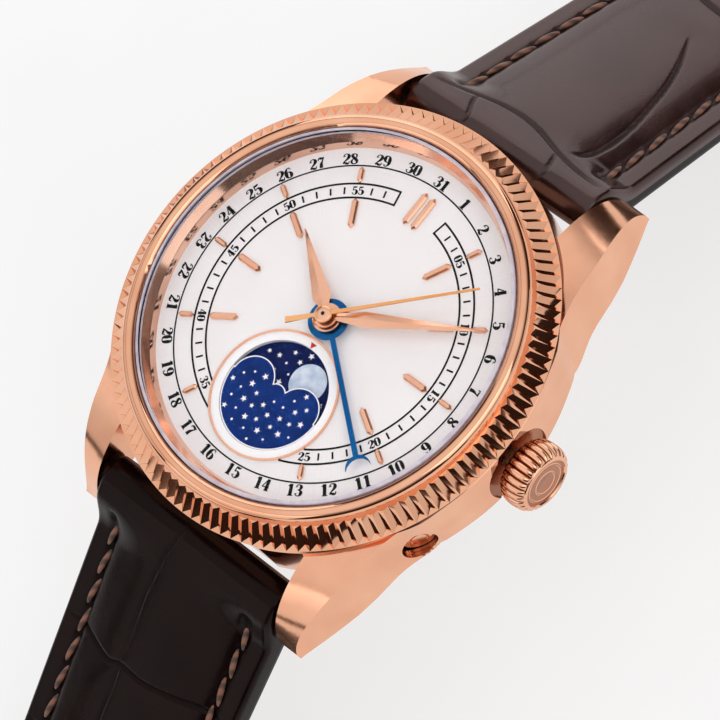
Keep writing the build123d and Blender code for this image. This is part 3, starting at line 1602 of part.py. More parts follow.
# Long half: a rounded point and a row of holes
plain_long_half = strap_half(long_half_length, 0, -1)
long_tip_y = strap_station(long_half_length, 0)[0]
shoulder_y = long_tip_y - strap_tip_length
with BuildPart() as strap_6_half:
    add(plain_long_half.part)
    with BuildSketch(Plane.XY.offset(floor_z - overrun)):
        with BuildLine():
            half_end = strap_end_width / 2
            tip_half = strap_tip_width / 2
            tip_shoulder_y = long_tip_y - strap_tip_length * strap_tip_round_share
            bulge_x = (half_end + tip_half) / 2 + half_end * strap_tip_bulge_share
            bulge_y = (shoulder_y + tip_shoulder_y) / 2
            Polyline(
                (-half_end, -shoulder_y),
                (-strap_root_width, 0),
                (strap_root_width, 0),
                (half_end, -shoulder_y),
            )
            ThreePointArc((half_end, -shoulder_y), (bulge_x, -bulge_y), (tip_half, -tip_shoulder_y))
            ThreePointArc((tip_half, -tip_shoulder_y), (0, -long_tip_y), (-tip_half, -tip_shoulder_y))
            ThreePointArc((-tip_half, -tip_shoulder_y), (-bulge_x, -bulge_y), (-half_end, -shoulder_y))
        make_face()
    extrude(amount=bar_z - floor_z + overrun * 4, mode=Mode.INTERSECT)
    with BuildSketch(Plane.XY.offset(floor_z)):
        for hole in range(strap_hole_count):
            with Locations((0, strap_first_hole + hole * strap_hole_spacing - long_tip_y)):
                Circle(strap_hole_radius)
    extrude(amount=strap_below_bar * 2, mode=Mode.SUBTRACT)


def keeper(place, inner_width, inner_foot_z):
    """A leather loop round the strap with room over it for the other half."""
    y = strap_station(place, strap_lift)[0]
    strap_top_z = floor_z + strap_lift + strap_below_bar + strap_end_crown
    inner_top_z = strap_top_z + keeper_passage
    with BuildPart() as loop:
        with BuildSketch(Plane.XZ.offset(-y - keeper_width / 2)):
            with Locations((0, (floor_z + inner_top_z + keeper_wall) / 2)):
                RectangleRounded(
                    inner_width + 2 * keeper_wall,
                    inner_top_z + keeper_wall - floor_z,
                    keeper_corner_radius,
                )
            with Locations((0, (inner_foot_z + inner_top_z) / 2)):
                Rectangle(inner_width, inner_top_z - inner_foot_z, mode=Mode.SUBTRACT)
        extrude(amount=keeper_width)
    return loop


fixed_keeper = keeper(fixed_keeper_place, strap_end_width, floor_z + strap_lift)
sliding_keeper = keeper(
    sliding_keeper_place, strap_end_width + 2 * keeper_side_gap, floor_z + keeper_wall
)

# Buckle: a bent U frame, the bar through its ears, and the tongue
frame_half = strap_end_width / 2 + buckle_side_gap + buckle_arm_width
window_half_width = strap_end_width / 2 + buckle_side_gap
front_y = buckle_y + buckle_reach
with BuildPart() as buckle_frame:
    with BuildSketch(Plane.XY.offset(floor_z)):
        with Locations((0, front_y)):
            Rectangle(2 * frame_half, buckle_reach + buckle_ear_radius, align=(Align.CENTER, Align.MAX))
        with Locations((0, front_y - buckle_front_width)):
            Rectangle(
                2 * window_half_width,
                buckle_reach + buckle_ear_radius,
                align=(Align.CENTER, Align.MAX),
                mode=Mode.SUBTRACT,
            )
    extrude(amount=buckle_z + buckle_ear_radius - floor_z)
    upright_edges = buckle_frame.edges().filter_by(Axis.Z).group_by(Axis.Y)[-1]
    fillet(upright_edges, radius=buckle_corner_radius)
    with BuildSketch(Plane.YZ.offset(-frame_half)):
        with BuildLine():
            Polyline(
                (buckle_y, buckle_z - buckle_ear_radius),
                (front_y, floor_z),
                (front_y, floor_z + buckle_height),
                (buckle_y, buckle_z + buckle_ear_radius),
                close=True,
            )
        make_face()
        with Locations((buckle_y, buckle_z)):
            Circle(buckle_ear_radius)
    extrude(amount=2 * frame_half, mode=Mode.INTERSECT)
    with BuildSketch(Plane.YZ.offset(-frame_half)):
        with Locations((buckle_y, buckle_z)):
            Circle(buckle_bar_radius + seat_fit)
    extrude(amount=2 * frame_half, mode=Mode.SUBTRACT)

with BuildPart() as buckle_bar:
    with BuildSketch(Plane.YZ.offset(-frame_half)):
        with Locations((buckle_y, buckle_z)):
            Circle(buckle_bar_radius)
    extrude(amount=2 * frame_half)

with BuildPart() as buckle_tongue:
    tongue_loop_radius = buckle_bar_radius + running_fit + tongue_loop_wall
    tongue_foot_z = buckle_z + tongue_loop_radius - tongue_height
    tongue_tip_y = front_y + tongue_lap
    with BuildSketch(Plane.YZ.offset(-tongue_width / 2)):
        with Locations((buckle_y, buckle_z)):
            Circle(tongue_loop_radius)
        with BuildLine():
            Polyline(
                (buckle_y, tongue_foot_z),
                (tongue_tip_y, tongue_foot_z - tongue_slope_drop),
                (tongue_tip_y, tongue_foot_z - tongue_slope_drop + tongue_height / 2),
                (tongue_tip_y - tongue_height, tongue_foot_z - tongue_slope_drop + tongue_height),
                (buckle_y, tongue_foot_z + tongue_height),
                close=True,
            )
        make_face()
        with Locations((buckle_y, buckle_z)):
            Circle(buckle_bar_radius + running_fit, mode=Mode.SUBTRACT)
    extrude(amount=tongue_width)

pieces = {
    "mid_case": mid_case,
    "bezel": bezel,
    "rehaut": rehaut,
    "crystal": crystal,
    "crystal_gasket": crystal_gasket,
    "case_back_ring": case_back_ring,
    "case_back_glass": case_back_glass,
    "case_back_gasket": case_back_gasket,
    "crown": crown,
    "crown_stem": crown_stem,
    "crown_tube": crown_tube,
    "corrector_pusher": corrector_pusher,
    "spring_bars": spring_bars,
    "dial": dial,
    "subdial_ring": subdial_ring,
    "moon_mask": moon_mask,
    "moon_disc": moon_disc,
    "outer_indices": outer_indices,
    "inner_indices": inner_indices,
    "twelve_marker": twelve_marker,
    "hour_hand": hour_hand,
    "minute_hand": minute_hand,
    "second_hand": second_hand,
    "date_hand": date_hand,
    "movement_ring": movement_ring,
    "mainplate": mainplate,
    "train_bridge": train_bridge,
    "balance_cock": balance_cock,
    "jewels": jewels,
    "bridge_screws": bridge_screws,
    "barrel": barrel,
    "centre_wheel": centre_wheel,
    "third_wheel": third_wheel,
    "fourth_wheel": fourth_wheel,
    "escape_wheel": escape_wheel,
    "pallet_fork": pallet_fork,
    "balance_wheel": balance_wheel,
    "hairspring": hairspring,
    "ratchet_wheel": ratchet_wheel,
    "crown_wheel": crown_wheel,
    "winding_pinion": winding_pinion,
    "rotor": rotor,
    "rotor_bearing": rotor_bearing,
    "cannon_pinion": cannon_pinion,
    "minute_wheel": minute_wheel,
    "hour_wheel": hour_wheel,
    "date_wheel": date_wheel,
    "date_driver": date_driver,
    "calendar_jumpers": calendar_jumpers,
    "strap_12_half": strap_12_half,
    "strap_6_half": strap_6_half,
    "fixed_keeper": fixed_keeper,
    "sliding_keeper": sliding_keeper,
    "buckle_frame": buckle_frame,
    "buckle_bar": buckle_bar,
    "buckle_tongue": buckle_tongue,
}
for label, piece in pieces.items():
    piece.part.label = label
    export_step(piece.part, f"parts/{label}.step")
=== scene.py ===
from math import atan2, cos, hypot, pi, radians, sin, sqrt

import bpy
import numpy as np
from mathutils import Matrix, Vector


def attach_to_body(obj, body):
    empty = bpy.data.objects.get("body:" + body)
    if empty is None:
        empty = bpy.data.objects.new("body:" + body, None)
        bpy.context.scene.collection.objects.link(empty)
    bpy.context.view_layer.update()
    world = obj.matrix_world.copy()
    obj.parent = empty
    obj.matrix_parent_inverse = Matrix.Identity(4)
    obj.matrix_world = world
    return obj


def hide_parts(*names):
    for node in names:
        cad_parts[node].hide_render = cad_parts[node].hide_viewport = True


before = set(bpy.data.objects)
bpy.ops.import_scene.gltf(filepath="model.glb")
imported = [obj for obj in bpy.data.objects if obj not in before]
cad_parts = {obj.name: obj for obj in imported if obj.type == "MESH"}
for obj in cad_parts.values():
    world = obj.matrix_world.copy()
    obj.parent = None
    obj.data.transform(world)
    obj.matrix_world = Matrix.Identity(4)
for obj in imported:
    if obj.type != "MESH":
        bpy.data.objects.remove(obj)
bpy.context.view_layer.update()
mm = 0.001
print("frame loaded with", len(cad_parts), "nodes")

# hands, dial print and strap sizes below are in millimetres, in the watch's own frame


def toLinear(hexColour):
    channels = [int(hexColour[i:i + 2], 16) / 255 for i in (1, 3, 5)]
    return [c / 12.92 if c <= 0.04045 else ((c + 0.055) / 1.055) ** 2.4 for c in channels] + [1]


def per(size):  # texture scale for a pattern whose detail is this many millimetres across
    return 1000 / size


def perWave(spacing):  # the same for a wave texture, whose bands lie pi / 10 apart at a scale of 1
    return per(spacing) * pi / 10


def addNode(tree, kind, settings, links=()):
    node = tree.nodes.new("ShaderNode" + kind)
    for name, value in settings.items():
        if name == "ramp":
            ramp = node.color_ramp
            while len(ramp.elements) < len(value):
                ramp.elements.new(0.5)
            for element, (place, colour) in zip(ramp.elements, value):
                element.position, element.color = place, toLinear(colour)
        elif isinstance(name, int) or name in node.inputs:
            node.inputs[name].default_value = value
        else:
            setattr(node, name, value)
    for socket, source in dict(links).items():
        tree.links.new(source, node.inputs[socket])
    return node


def newFinish(name, values):
    finish = bpy.data.materials.new(name)
    finish.use_nodes = True
    tree = finish.node_tree
    shader = tree.nodes["Principled BSDF"]
    for socket, value in values.items():
        shader.inputs[socket].default_value = value
    place = addNode(tree, "TexCoord", {}).outputs["Object"]
    return finish, tree, shader, place


def feed(tree, shader, colour=None, roughness=None, bump=None, strength=0.2, height=0.02):
    # joins a colour, a roughness and a relief to the shader; height is the relief in mm
    if colour is not None:
        tree.links.new(colour, shader.inputs["Base Color"])
    if roughness is not None:
        tree.links.new(roughness, shader.inputs["Roughness"])
    if bump is not None:
        relief = addNode(tree, "Bump", {"Strength": strength, "Distance": height * mm}, {"Height": bump})
        tree.links.new(relief.outputs["Normal"], shader.inputs["Normal"])


def nothingPicked():
    if bpy.context.object and bpy.context.object.mode != "OBJECT":
        bpy.ops.object.mode_set(mode="OBJECT")
    bpy.ops.object.select_all(action="DESELECT")


def pick(piece):  # the piece alone is selected and active
    nothingPicked()
    piece.select_set(True)
    bpy.context.view_layer.objects.active = piece
    return piece


def onWhole(*steps):
    # each step, an operator and its settings, runs on the whole mesh of the active piece
    bpy.ops.object.mode_set(mode="EDIT")
    for operator, settings in steps:
        bpy.ops.mesh.select_all(action="SELECT")
        operator(**settings)
    bpy.ops.object.mode_set(mode="OBJECT")


def named(name):  # the object just added gets its name and its place goes into its mesh
    piece = bpy.context.object
    piece.name = piece.data.name = name
    bpy.ops.object.transform_apply(location=True, rotation=True, scale=True)
    return piece


def attach(piece, body, slot, *finishes, standsFor=()):
    piece.data.materials.clear()
    for finish in finishes:
        piece.data.materials.append(finish)
    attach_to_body(piece, body)
    if standsFor:
        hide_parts(*standsFor)
    return piece


def smoothEdges(piece, angle):
    pick(piece)
    bpy.ops.object.shade_smooth_by_angle(angle=radians(angle))


weld = {"copy": 0.001, "made": 0.002, "band": 0.005}  # points this near, in mm, become one
flatAngle = 0.5  # degrees within which neighbouring faces are one flat face


def refine(nodeName, name, angle=30, bevel=0.0):
    # a merged copy of a CAD node, shaded smooth up to the angle, its edges eased by bevel mm
    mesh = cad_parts[nodeName].data.copy()
    mesh.name = name
    if "custom_normal" in mesh.attributes:
        mesh.attributes.remove(mesh.attributes["custom_normal"])
    piece = bpy.data.objects.new(name, mesh)
    bpy.context.scene.collection.objects.link(piece)
    pick(piece)
    steps = [(bpy.ops.mesh.remove_doubles, {"threshold": weld["copy"] * mm})]
    if bevel:
        steps.append((bpy.ops.mesh.dissolve_limited, {"angle_limit": radians(flatAngle)}))
    onWhole(*steps)
    if bevel:
        ease = piece.modifiers.new("ease", "BEVEL")
        ease.width, ease.segments, ease.limit_method = bevel * mm, 2, "ANGLE"
        ease.angle_limit, ease.harden_normals = radians(angle), False
        bpy.ops.object.modifier_apply(modifier="ease")
    smoothEdges(piece, angle)
    return piece


def joined(pieces, name):
    pick(pieces[0])
    for piece in pieces[1:]:
        piece.select_set(True)
    if len(pieces) > 1:
        bpy.ops.object.join()
    pieces[0].name = pieces[0].data.name = name
    return pieces[0]


def duplicate(piece, matrix):
    other = bpy.data.objects.new(piece.name, piece.data.copy())
    bpy.context.scene.collection.objects.link(other)
    other.data.transform(matrix)
    return other


def turned(name, outline, steps, centre=(0, 0, 0), axis=(0, 0, 1), across=(1, 0, 0)):
    # a profile of (radius, height) points in mm, extruded point by point and spun round the axis
    centre, axis, across = Vector(centre) * mm, Vector(axis), Vector(across)
    spots = [centre + across * r * mm + axis * h * mm for r, h in outline]
    nothingPicked()
    bpy.ops.mesh.primitive_plane_add(size=mm, location=spots[0])
    piece = named(name)
    bpy.ops.object.mode_set(mode="EDIT")
    bpy.ops.mesh.merge(type="CENTER")
    for start, end in zip(spots, spots[1:]):
        bpy.ops.mesh.extrude_region_move(TRANSFORM_OT_translate={"value": end - start})
    onWhole((bpy.ops.mesh.spin, {"steps": steps, "angle": 2 * pi, "center": centre, "axis": axis}),
            (bpy.ops.mesh.remove_doubles, {"threshold": weld["made"] * mm}),
            (bpy.ops.mesh.normals_make_consistent, {"inside": False}))
    return piece


def smoothLine(points, steps=10):
    # a line through given points, rounded between them
    points = np.array(points, float)
    padded = np.vstack([2 * points[0] - points[1], points, 2 * points[-1] - points[-2]])
    out = []
    for a, b, c, d in zip(padded, padded[1:], padded[2:], padded[3:]):
        for t in np.linspace(0, 1, steps, endpoint=False):
            square, cube = (2 * a - 5 * b + 4 * c - d) * t ** 2, (3 * b - a - 3 * c + d) * t ** 3
            out.append(0.5 * (2 * b + (c - a) * t + square + cube))
    return np.array(out + [points[-1]])


def metalFinish(name, light, deep, roughness, grainSize, grainDepth):
    # a cast or rolled metal: a faint cloud in its colour, hairlines in its polish
    finish, tree, shader, place = newFinish(name, {"Metallic": 1.0})
    cloud = addNode(tree, "TexNoise", {"Scale": per(5), "Detail": 2}, {"Vector": place})
    tone = addNode(tree, "ValToRGB", {"ramp": [(0.3, deep), (0.7, light)]}, {"Fac": cloud.outputs["Fac"]})
    grain = addNode(tree, "TexNoise", {"Scale": per(grainSize), "Detail": 3}, {"Vector": place})
    polish = addNode(tree, "MapRange", {"To Min": roughness * 0.7, "To Max": roughness * 1.4},
                     {"Value": grain.outputs["Fac"]})
    feed(tree, shader, tone.outputs["Color"], polish.outputs["Result"], grain.outputs["Fac"], 0.25, grainDepth)
    return finish


# rose gold plating over polished steel: warm pink copper, mirror bright, with fine wiping marks
roseGold = metalFinish("polishedRoseGold", "#F3BA9A", "#EAAC8B", 0.14, 0.35, 0.0015)
# the same plating on the bezel, where the cut flutes leave crisp, bright faces
millGold = metalFinish("milledRoseGold", "#F2B998", "#E6A784", 0.07, 0.3, 0.0008)
# diamond-cut applied markers and hands: bright bevels, brushed very finely
cutGold = metalFinish("diamondCutRoseGold", "#F6C0A2", "#EBB090", 0.22, 0.12, 0.002)
# the crown cap's sunk field is bead blasted, which takes the glare off and deepens it
blastedGold = metalFinish("blastedRoseGold", "#C48E74", "#AC765E", 0.42, 0.1, 0.01)
# the sloped flange round the dial is polished and mirrors the dates
flangeGold = metalFinish("mirroredRoseGold", "#F6CBB4", "#E9B8A0", 0.1, 0.5, 0.001)
# painted shade: a darker copy of the rose gold for the corrector's and the crown's recesses and between the crown's
# ribs
paintedShadeGold = metalFinish("paintedShadeRoseGold", "#B27858", "#8E5A42", 0.18, 0.3, 0.002)
yellowGold = metalFinish("yellowGoldPlate", "#FBC088", "#EFA866", 0.22, 0.12, 0.002)
steel = metalFinish("turnedSteel", "#D2D4D8", "#B4B7BD", 0.2, 0.14, 0.003)
mirrorSteel = metalFinish("blackPolishedSteel", "#DCDEE2", "#C3C6CC", 0.1, 0.3, 0.001)
giltBrass = metalFinish("giltBrass", "#E9C37C", "#D0A055", 0.24, 0.1, 0.003)
springAlloy = metalFinish("coldDrawnSpringAlloy", "#C9C2BA", "#A8A29C", 0.26, 0.08, 0.002)
bluedSteel = metalFinish("flameBluedSteel", "#0E66A8", "#0A4F8A", 0.3, 0.12, 0.002)


def makeStripedRhodium():
    # rhodium-plated brass with ground Geneva stripes 3 mm apart, each with a soft shoulder
    finish, tree, shader, place = newFinish("stripedRhodium", {"Metallic": 1.0})
    turn = addNode(tree, "Mapping", {"Rotation": (0, 0, radians(25))}, {"Vector": place})
    stripes = addNode(tree, "TexWave", {"Scale": perWave(3), "wave_profile": "SAW", "Distortion": 0.0},
                      {"Vector": turn.outputs["Vector"]})
    tone = addNode(tree, "ValToRGB", {"ramp": [(0.0, "#B9BCC4"), (0.85, "#E9EAEE"), (1.0, "#9FA3AC")]},
                   {"Fac": stripes.outputs["Fac"]})
    hair = addNode(tree, "TexNoise", {"Scale": per(0.1), "Detail": 2}, {"Vector": turn.outputs["Vector"]})
    polish = addNode(tree, "MapRange", {"To Min": 0.2, "To Max": 0.38}, {"Value": hair.outputs["Fac"]})
    feed(tree, shader, tone.outputs["Color"], polish.outputs["Result"], stripes.outputs["Fac"], 0.5, 0.02)
    return finish


def makePerlage():
    # grained plate: overlapping ground circles about 0.9 mm across, with a few rings in each
    finish, tree, shader, place = newFinish("perlagePlate", {"Metallic": 1.0})
    cells = addNode(tree, "TexVoronoi", {"Scale": per(0.9), "Randomness": 0.15}, {"Vector": place})
    spread = addNode(tree, "Math", {"operation": "MULTIPLY", 1: 40.0}, {0: cells.outputs["Distance"]})
    rings = addNode(tree, "Math", {"operation": "SINE"}, {0: spread.outputs[0]})
    tone = addNode(tree, "ValToRGB", {"ramp": [(0.1, "#DADCE0"), (0.8, "#A9ADB6")]},
                   {"Fac": cells.outputs["Distance"]})
    polish = addNode(tree, "MapRange", {"To Min": 0.22, "To Max": 0.36}, {"Value": rings.outputs[0]})
    feed(tree, shader, tone.outputs["Color"], polish.outputs["Result"], rings.outputs[0], 0.3, 0.004)
    return finish


def makeSapphire():
    # lapped sapphire: colourless; its coating leaves about the shine of an index of 1.13
    finish, tree, shader, place = newFinish("lappedSapphire", {
        "Transmission Weight": 1.0, "IOR": 1.13, "Roughness": 0.0})
    film = addNode(tree, "TexNoise", {"Scale": per(6), "Detail": 1}, {"Vector": place})
    tint = addNode(tree, "ValToRGB", {"ramp": [(0.3, "#FCFBFB"), (0.7, "#FFFFFF")]}, {"Fac": film.outputs["Fac"]})
    wipe = addNode(tree, "MapRange", {"To Min": 0.0, "To Max": 0.012}, {"Value": film.outputs["Fac"]})
    feed(tree, shader, tint.outputs["Color"], wipe.outputs["Result"])
    # light reaches the dial through the glass as it does through real glass
    rays = addNode(tree, "LightPath", {})
    clear = addNode(tree, "BsdfTransparent", {"Color": toLinear("#FBFAFA")})
    mix = addNode(tree, "MixShader", {}, {0: rays.outputs["Is Shadow Ray"], 1: shader.outputs["BSDF"],
                                         2: clear.outputs["BSDF"]})
    tree.links.new(mix.outputs[0], tree.nodes["Material Output"].inputs["Surface"])
    return finish


def makeGroundRim():
    # the crystal's rim is ground, not polished: a pale grey-violet haze
    finish, tree, shader, place = newFinish("groundSapphireRim", {"Transmission Weight": 0.25, "IOR": 1.3})
    haze = addNode(tree, "TexNoise", {"Scale": per(1.2), "Detail": 3}, {"Vector": place})
    tone = addNode(tree, "ValToRGB", {"ramp": [(0.3, "#CFC6D8"), (0.7, "#EDE8F1")]}, {"Fac": haze.outputs["Fac"]})
    polish = addNode(tree, "MapRange", {"To Min": 0.3, "To Max": 0.5}, {"Value": haze.outputs["Fac"]})
    feed(tree, shader, tone.outputs["Color"], polish.outputs["Result"], haze.outputs["Fac"], 0.2, 0.01)
    return finish


def makeDialSilver():
    # silver-white galvanic dial under satin lacquer: fine grain and a faint sunray brushing
    finish, tree, shader, place = newFinish("satinSilverDial", {
        "Metallic": 0.12, "Coat Weight": 0.1, "Coat Roughness": 0.12, "Specular IOR Level": 0.3})
    parts = addNode(tree, "SeparateXYZ", {}, {"Vector": place})
    angle = addNode(tree, "Math", {"operation": "ARCTAN2"}, {0: parts.outputs["Y"], 1: parts.outputs["X"]})
    # a ray every 0.6 degrees, about 0.15 mm wide at the edge
    rays = addNode(tree, "TexNoise", {"noise_dimensions": "1D", "Scale": 95.0, "Detail": 3}, {"W": angle.outputs[0]})
    grain = addNode(tree, "TexNoise", {"Scale": per(0.12), "Detail": 2}, {"Vector": place})
    both = addNode(tree, "Math", {"operation": "ADD"}, {0: rays.outputs["Fac"], 1: grain.outputs["Fac"]})
    half = addNode(tree, "Math", {"operation": "MULTIPLY", 1: 0.5}, {0: both.outputs[0]})
    tone = addNode(tree, "ValToRGB", {"ramp": [(0.3, "#EAE7E8"), (0.7, "#F2F0F1")]}, {"Fac": half.outputs[0]})
    polish = addNode(tree, "MapRange", {"To Min": 0.3, "To Max": 0.42}, {"Value": rays.outputs["Fac"]})
    feed(tree, shader, tone.outputs["Color"], polish.outputs["Result"], both.outputs[0], 0.06, 0.003)
    return finish


def printFinish(name, light, deep, roughness, grain=0.1):
    # pad-printed or sprayed lacquer: one colour, uneven by a shade where the film is thin
    finish, tree, shader, place = newFinish(name, {
        "Coat Weight": 0.03, "Coat Roughness": 0.15, "Specular IOR Level": 0.12})
    film = addNode(tree, "TexNoise", {"Scale": per(grain), "Detail": 2}, {"Vector": place})
    tone = addNode(tree, "ValToRGB", {"ramp": [(0.3, deep), (0.7, light)]}, {"Fac": film.outputs["Fac"]})
    polish = addNode(tree, "MapRange", {"To Min": roughness * 0.8, "To Max": roughness * 1.2},
                     {"Value": film.outputs["Fac"]})
    feed(tree, shader, tone.outputs["Color"], polish.outputs["Result"], film.outputs["Fac"], 0.2, 0.004)
    return finish


printBlack = printFinish("padPrintBlack", "#0E0F14", "#050609", 0.4)
printWhite = printFinish("padPrintWhite", "#FBFBFD", "#EFF0F4", 0.4)
printRed = printFinish("padPrintRed", "#DE3322", "#C4241A", 0.35)
moonPearl = printFinish("moonPearlLacquer", "#D3DEEC", "#A9BBD6", 0.3, 0.9)
sealRubber = printFinish("mouldedSealRubber", "#2A2A2C", "#19191B", 0.6, 0.2)
edgePaint = printFinish("strapEdgePaint", "#1C1311", "#0E0908", 0.35, 0.5)


def enamelFinish(name, light, deep, glintColour, share):
    # fired blue enamel with metal flakes about 0.1 mm across; share is how many flakes get a painted glint, a
    # lighter colour mixed into the base
    finish, tree, shader, place = newFinish(name, {
        "Coat Weight": 0.01, "Coat Roughness": 0.08, "Roughness": 0.3, "Specular IOR Level": 0.04})
    cloud = addNode(tree, "TexNoise", {"Scale": per(1.6), "Detail": 3}, {"Vector": place})
    tone = addNode(tree, "ValToRGB", {"ramp": [(0.3, deep), (0.7, light)]}, {"Fac": cloud.outputs["Fac"]})
    flakes = addNode(tree, "TexVoronoi", {"Scale": per(0.1)}, {"Vector": place})
    parts = addNode(tree, "SeparateColor", {}, {"Color": flakes.outputs["Color"]})
    glinting = addNode(tree, "Math", {"operation": "GREATER_THAN", 1: 1 - share}, {0: parts.outputs[0]})
    # painted highlight: the glinting flakes take the lighter colour
    mixed = addNode(tree, "MixRGB", {"Color2": toLinear(glintColour)},
                    {"Fac": glinting.outputs[0], "Color1": tone.outputs["Color"]})
    feed(tree, shader, mixed.outputs["Color"], None, flakes.outputs["Distance"], 0.1, 0.01)
    return finish


maskBlue = enamelFinish("aventurineBlueEnamel", "#032E7A", "#002262", "#2F62B4", 0.03)
moonNight = enamelFinish("midnightBlueEnamel", "#021A5C", "#000C40", "#29508E", 0.02)


def makeRuby():
    # synthetic ruby bearing, flame-grown: deep pink glow at its rim
    finish, tree, shader, place = newFinish("syntheticRuby", {
        "Roughness": 0.06, "Coat Weight": 0.6,
        "Subsurface Weight": 0.3, "Subsurface Radius": (0.0004, 0.0001, 0.0001)})
    cloud = addNode(tree, "TexNoise", {"Scale": per(0.5), "Detail": 1}, {"Vector": place})
    tone = addNode(tree, "ValToRGB", {"ramp": [(0.3, "#8F0F2E"), (0.7, "#D0304F")]}, {"Fac": cloud.outputs["Fac"]})
    feed(tree, shader, tone.outputs["Color"])
    return finish


def alligatorFinish(name, light, deep, crease, shine):
    # glazed alligator: dyed dark, rubbed glossy on the scales, matt in the creases; the creases and the stitch
    # groove are darkened in its colour as painted shade
    finish, tree, shader, place = newFinish(name, {
        "Coat Weight": shine * 0.4, "Coat Roughness": 0.1, "Coat Tint": toLinear("#F3D9D6"),
        "Specular IOR Level": shine, "Specular Tint": toLinear("#F3D2CE")})
    depth = addNode(tree, "Attribute", {"attribute_name": "creaseDepth"})
    cloud = addNode(tree, "TexNoise", {"Scale": per(6), "Detail": 4}, {"Vector": place})
    tone = addNode(tree, "ValToRGB", {"ramp": [(0.3, deep), (0.72, light)]}, {"Fac": cloud.outputs["Fac"]})
    # painted shade: the crease colour is mixed in by the creaseDepth mark
    skin = addNode(tree, "MixRGB", {"Color2": toLinear(crease)},
                   {"Fac": depth.outputs["Fac"], "Color1": tone.outputs["Color"]})
    # the hide's own grain: wrinkles 0.55 mm apart and pores of 0.16 mm
    wrinkle = addNode(tree, "TexVoronoi", {"Scale": per(0.55), "feature": "DISTANCE_TO_EDGE"}, {"Vector": place})
    pores = addNode(tree, "TexNoise", {"Scale": per(0.16), "Detail": 3}, {"Vector": place})
    grain = addNode(tree, "Math", {"operation": "MULTIPLY_ADD", 1: 0.35},
                    {0: wrinkle.outputs["Distance"], 2: pores.outputs["Fac"]})
    # rubbed unevenly: soft patches of about 3 mm take the gloss better than others
    patches = addNode(tree, "TexNoise", {"Scale": per(3), "Detail": 3}, {"Vector": place})
    rubbed = addNode(tree, "MapRange", {"From Min": 0.3, "From Max": 0.7, "To Min": 0.15, "To Max": 0.3},
                     {"Value": patches.outputs["Fac"]})
    polish = addNode(tree, "MapRange", {"To Max": 0.7},
                     {"Value": depth.outputs["Fac"], "To Min": rubbed.outputs["Result"]})
    relief = addNode(tree, "Math", {"operation": "MULTIPLY_ADD", 1: 1.6},
                     {0: patches.outputs["Fac"], 2: grain.outputs[0]})
    feed(tree, shader, skin.outputs["Color"], polish.outputs["Result"], relief.outputs[0], 0.35, 0.045)
    return finish


# one leather as two copies: the upper half's is painted lighter and glossier, a painted highlight, and the lower
# half's darker and duller, painted shade; the keepers take the lower copy
litUpperLeather = alligatorFinish("glazedAlligatorLitUpper", "#2E1C1A", "#180D0C", "#080403", 0.7)
shadedLowerLeather = alligatorFinish("glazedAlligatorShadedLower", "#170C0B", "#0D0606", "#070303", 0.1)


def makeLining():
    # vegetable-tanned calf lining: matt brown with a fine pebble grain of 0.35 mm
    finish, tree, shader, place = newFinish("calfLining", {"Roughness": 0.6, "Sheen Weight": 0.15})
    cloud = addNode(tree, "TexNoise", {"Scale": per(7), "Detail": 4}, {"Vector": place})
    tone = addNode(tree, "ValToRGB", {"ramp": [(0.3, "#4E3427"), (0.7, "#6B4936")]}, {"Fac": cloud.outputs["Fac"]})
    pebble = addNode(tree, "TexVoronoi", {"Scale": per(0.35), "feature": "SMOOTH_F1"}, {"Vector": place})
    feed(tree, shader, tone.outputs["Color"], None, pebble.outputs["Distance"], 0.35, 0.03)
    return finish


def makeThread():
    # waxed linen thread, two plies twisted: slanting ridges 0.9 mm apart
    finish, tree, shader, place = newFinish("waxedThread", {"Roughness": 0.55, "Sheen Weight": 0.2})
    slant = addNode(tree, "Mapping", {"Rotation": (0, 0, radians(55))}, {"Vector": place})
    ply = addNode(tree, "TexWave", {"Scale": perWave(0.9), "Distortion": 1.0, "Detail": 1},
                  {"Vector": slant.outputs["Vector"]})
    tone = addNode(tree, "ValToRGB", {"ramp": [(0.1, "#472A1D"), (0.8, "#80503A")]}, {"Fac": ply.outputs["Fac"]})
    feed(tree, shader, tone.outputs["Color"], None, ply.outputs["Fac"], 0.6, 0.05)
    return finish


stripedRhodium = makeStripedRhodium()
perlage = makePerlage()
sapphire = makeSapphire()
groundRim = makeGroundRim()
dialSilver = makeDialSilver()
ruby = makeRuby()
lining = makeLining()
thread = makeThread()
print("finishes made")

studio = {
    "turn": (-0.393362, -0.353601, -0.723785),  # radians, about x, y and z
    "place": (194.569, -30.206, 342.966),
    "lens": 230.21,
    "clip": (0.01, 20),  # metres
    "floorHeight": -18.0,
    "floorSize": 3000.0,
    # the way to each lamp from the watch, how far it stands, its sides in mm and how bright its face is
    "lamps": {
        "windowBack": ((-0.56, 0.75, 0.36), 1000, (980, 740), 1.35),
        "windowFront": ((-0.23, -0.87, 0.43), 1000, (940, 760), 0.95),
        "windowLeft": ((-0.85, -0.36, 0.38), 1000, (760, 600), 0.7),
        "windowRight": ((0.75, 0.1, 0.65), 1000, (760, 760), 1.2),
        "lowStrip": ((0.855, 0.494, 0.156), 1000, (1250, 210), 0.75),
    },
    "glow": 0.64,  # how much of its own white the floor keeps for the camera, for metal and for glass
}


def setCamera():
    nothingPicked()
    bpy.ops.object.camera_add()
    camera = bpy.context.object
    camera.name = "camera"
    camera.data.lens = studio["lens"]
    camera.data.clip_start, camera.data.clip_end = studio["clip"]
    rx, ry, rz = studio["turn"]
    turn = Matrix.Rotation(rx, 4, "X") @ Matrix.Rotation(ry, 4, "Y") @ Matrix.Rotation(rz, 4, "Z")
    camera.matrix_world = Matrix.Translation(Vector(studio["place"]) * mm) @ turn.transposed()
    bpy.context.scene.camera = camera
    bpy.context.scene.view_settings.view_transform = "Standard"


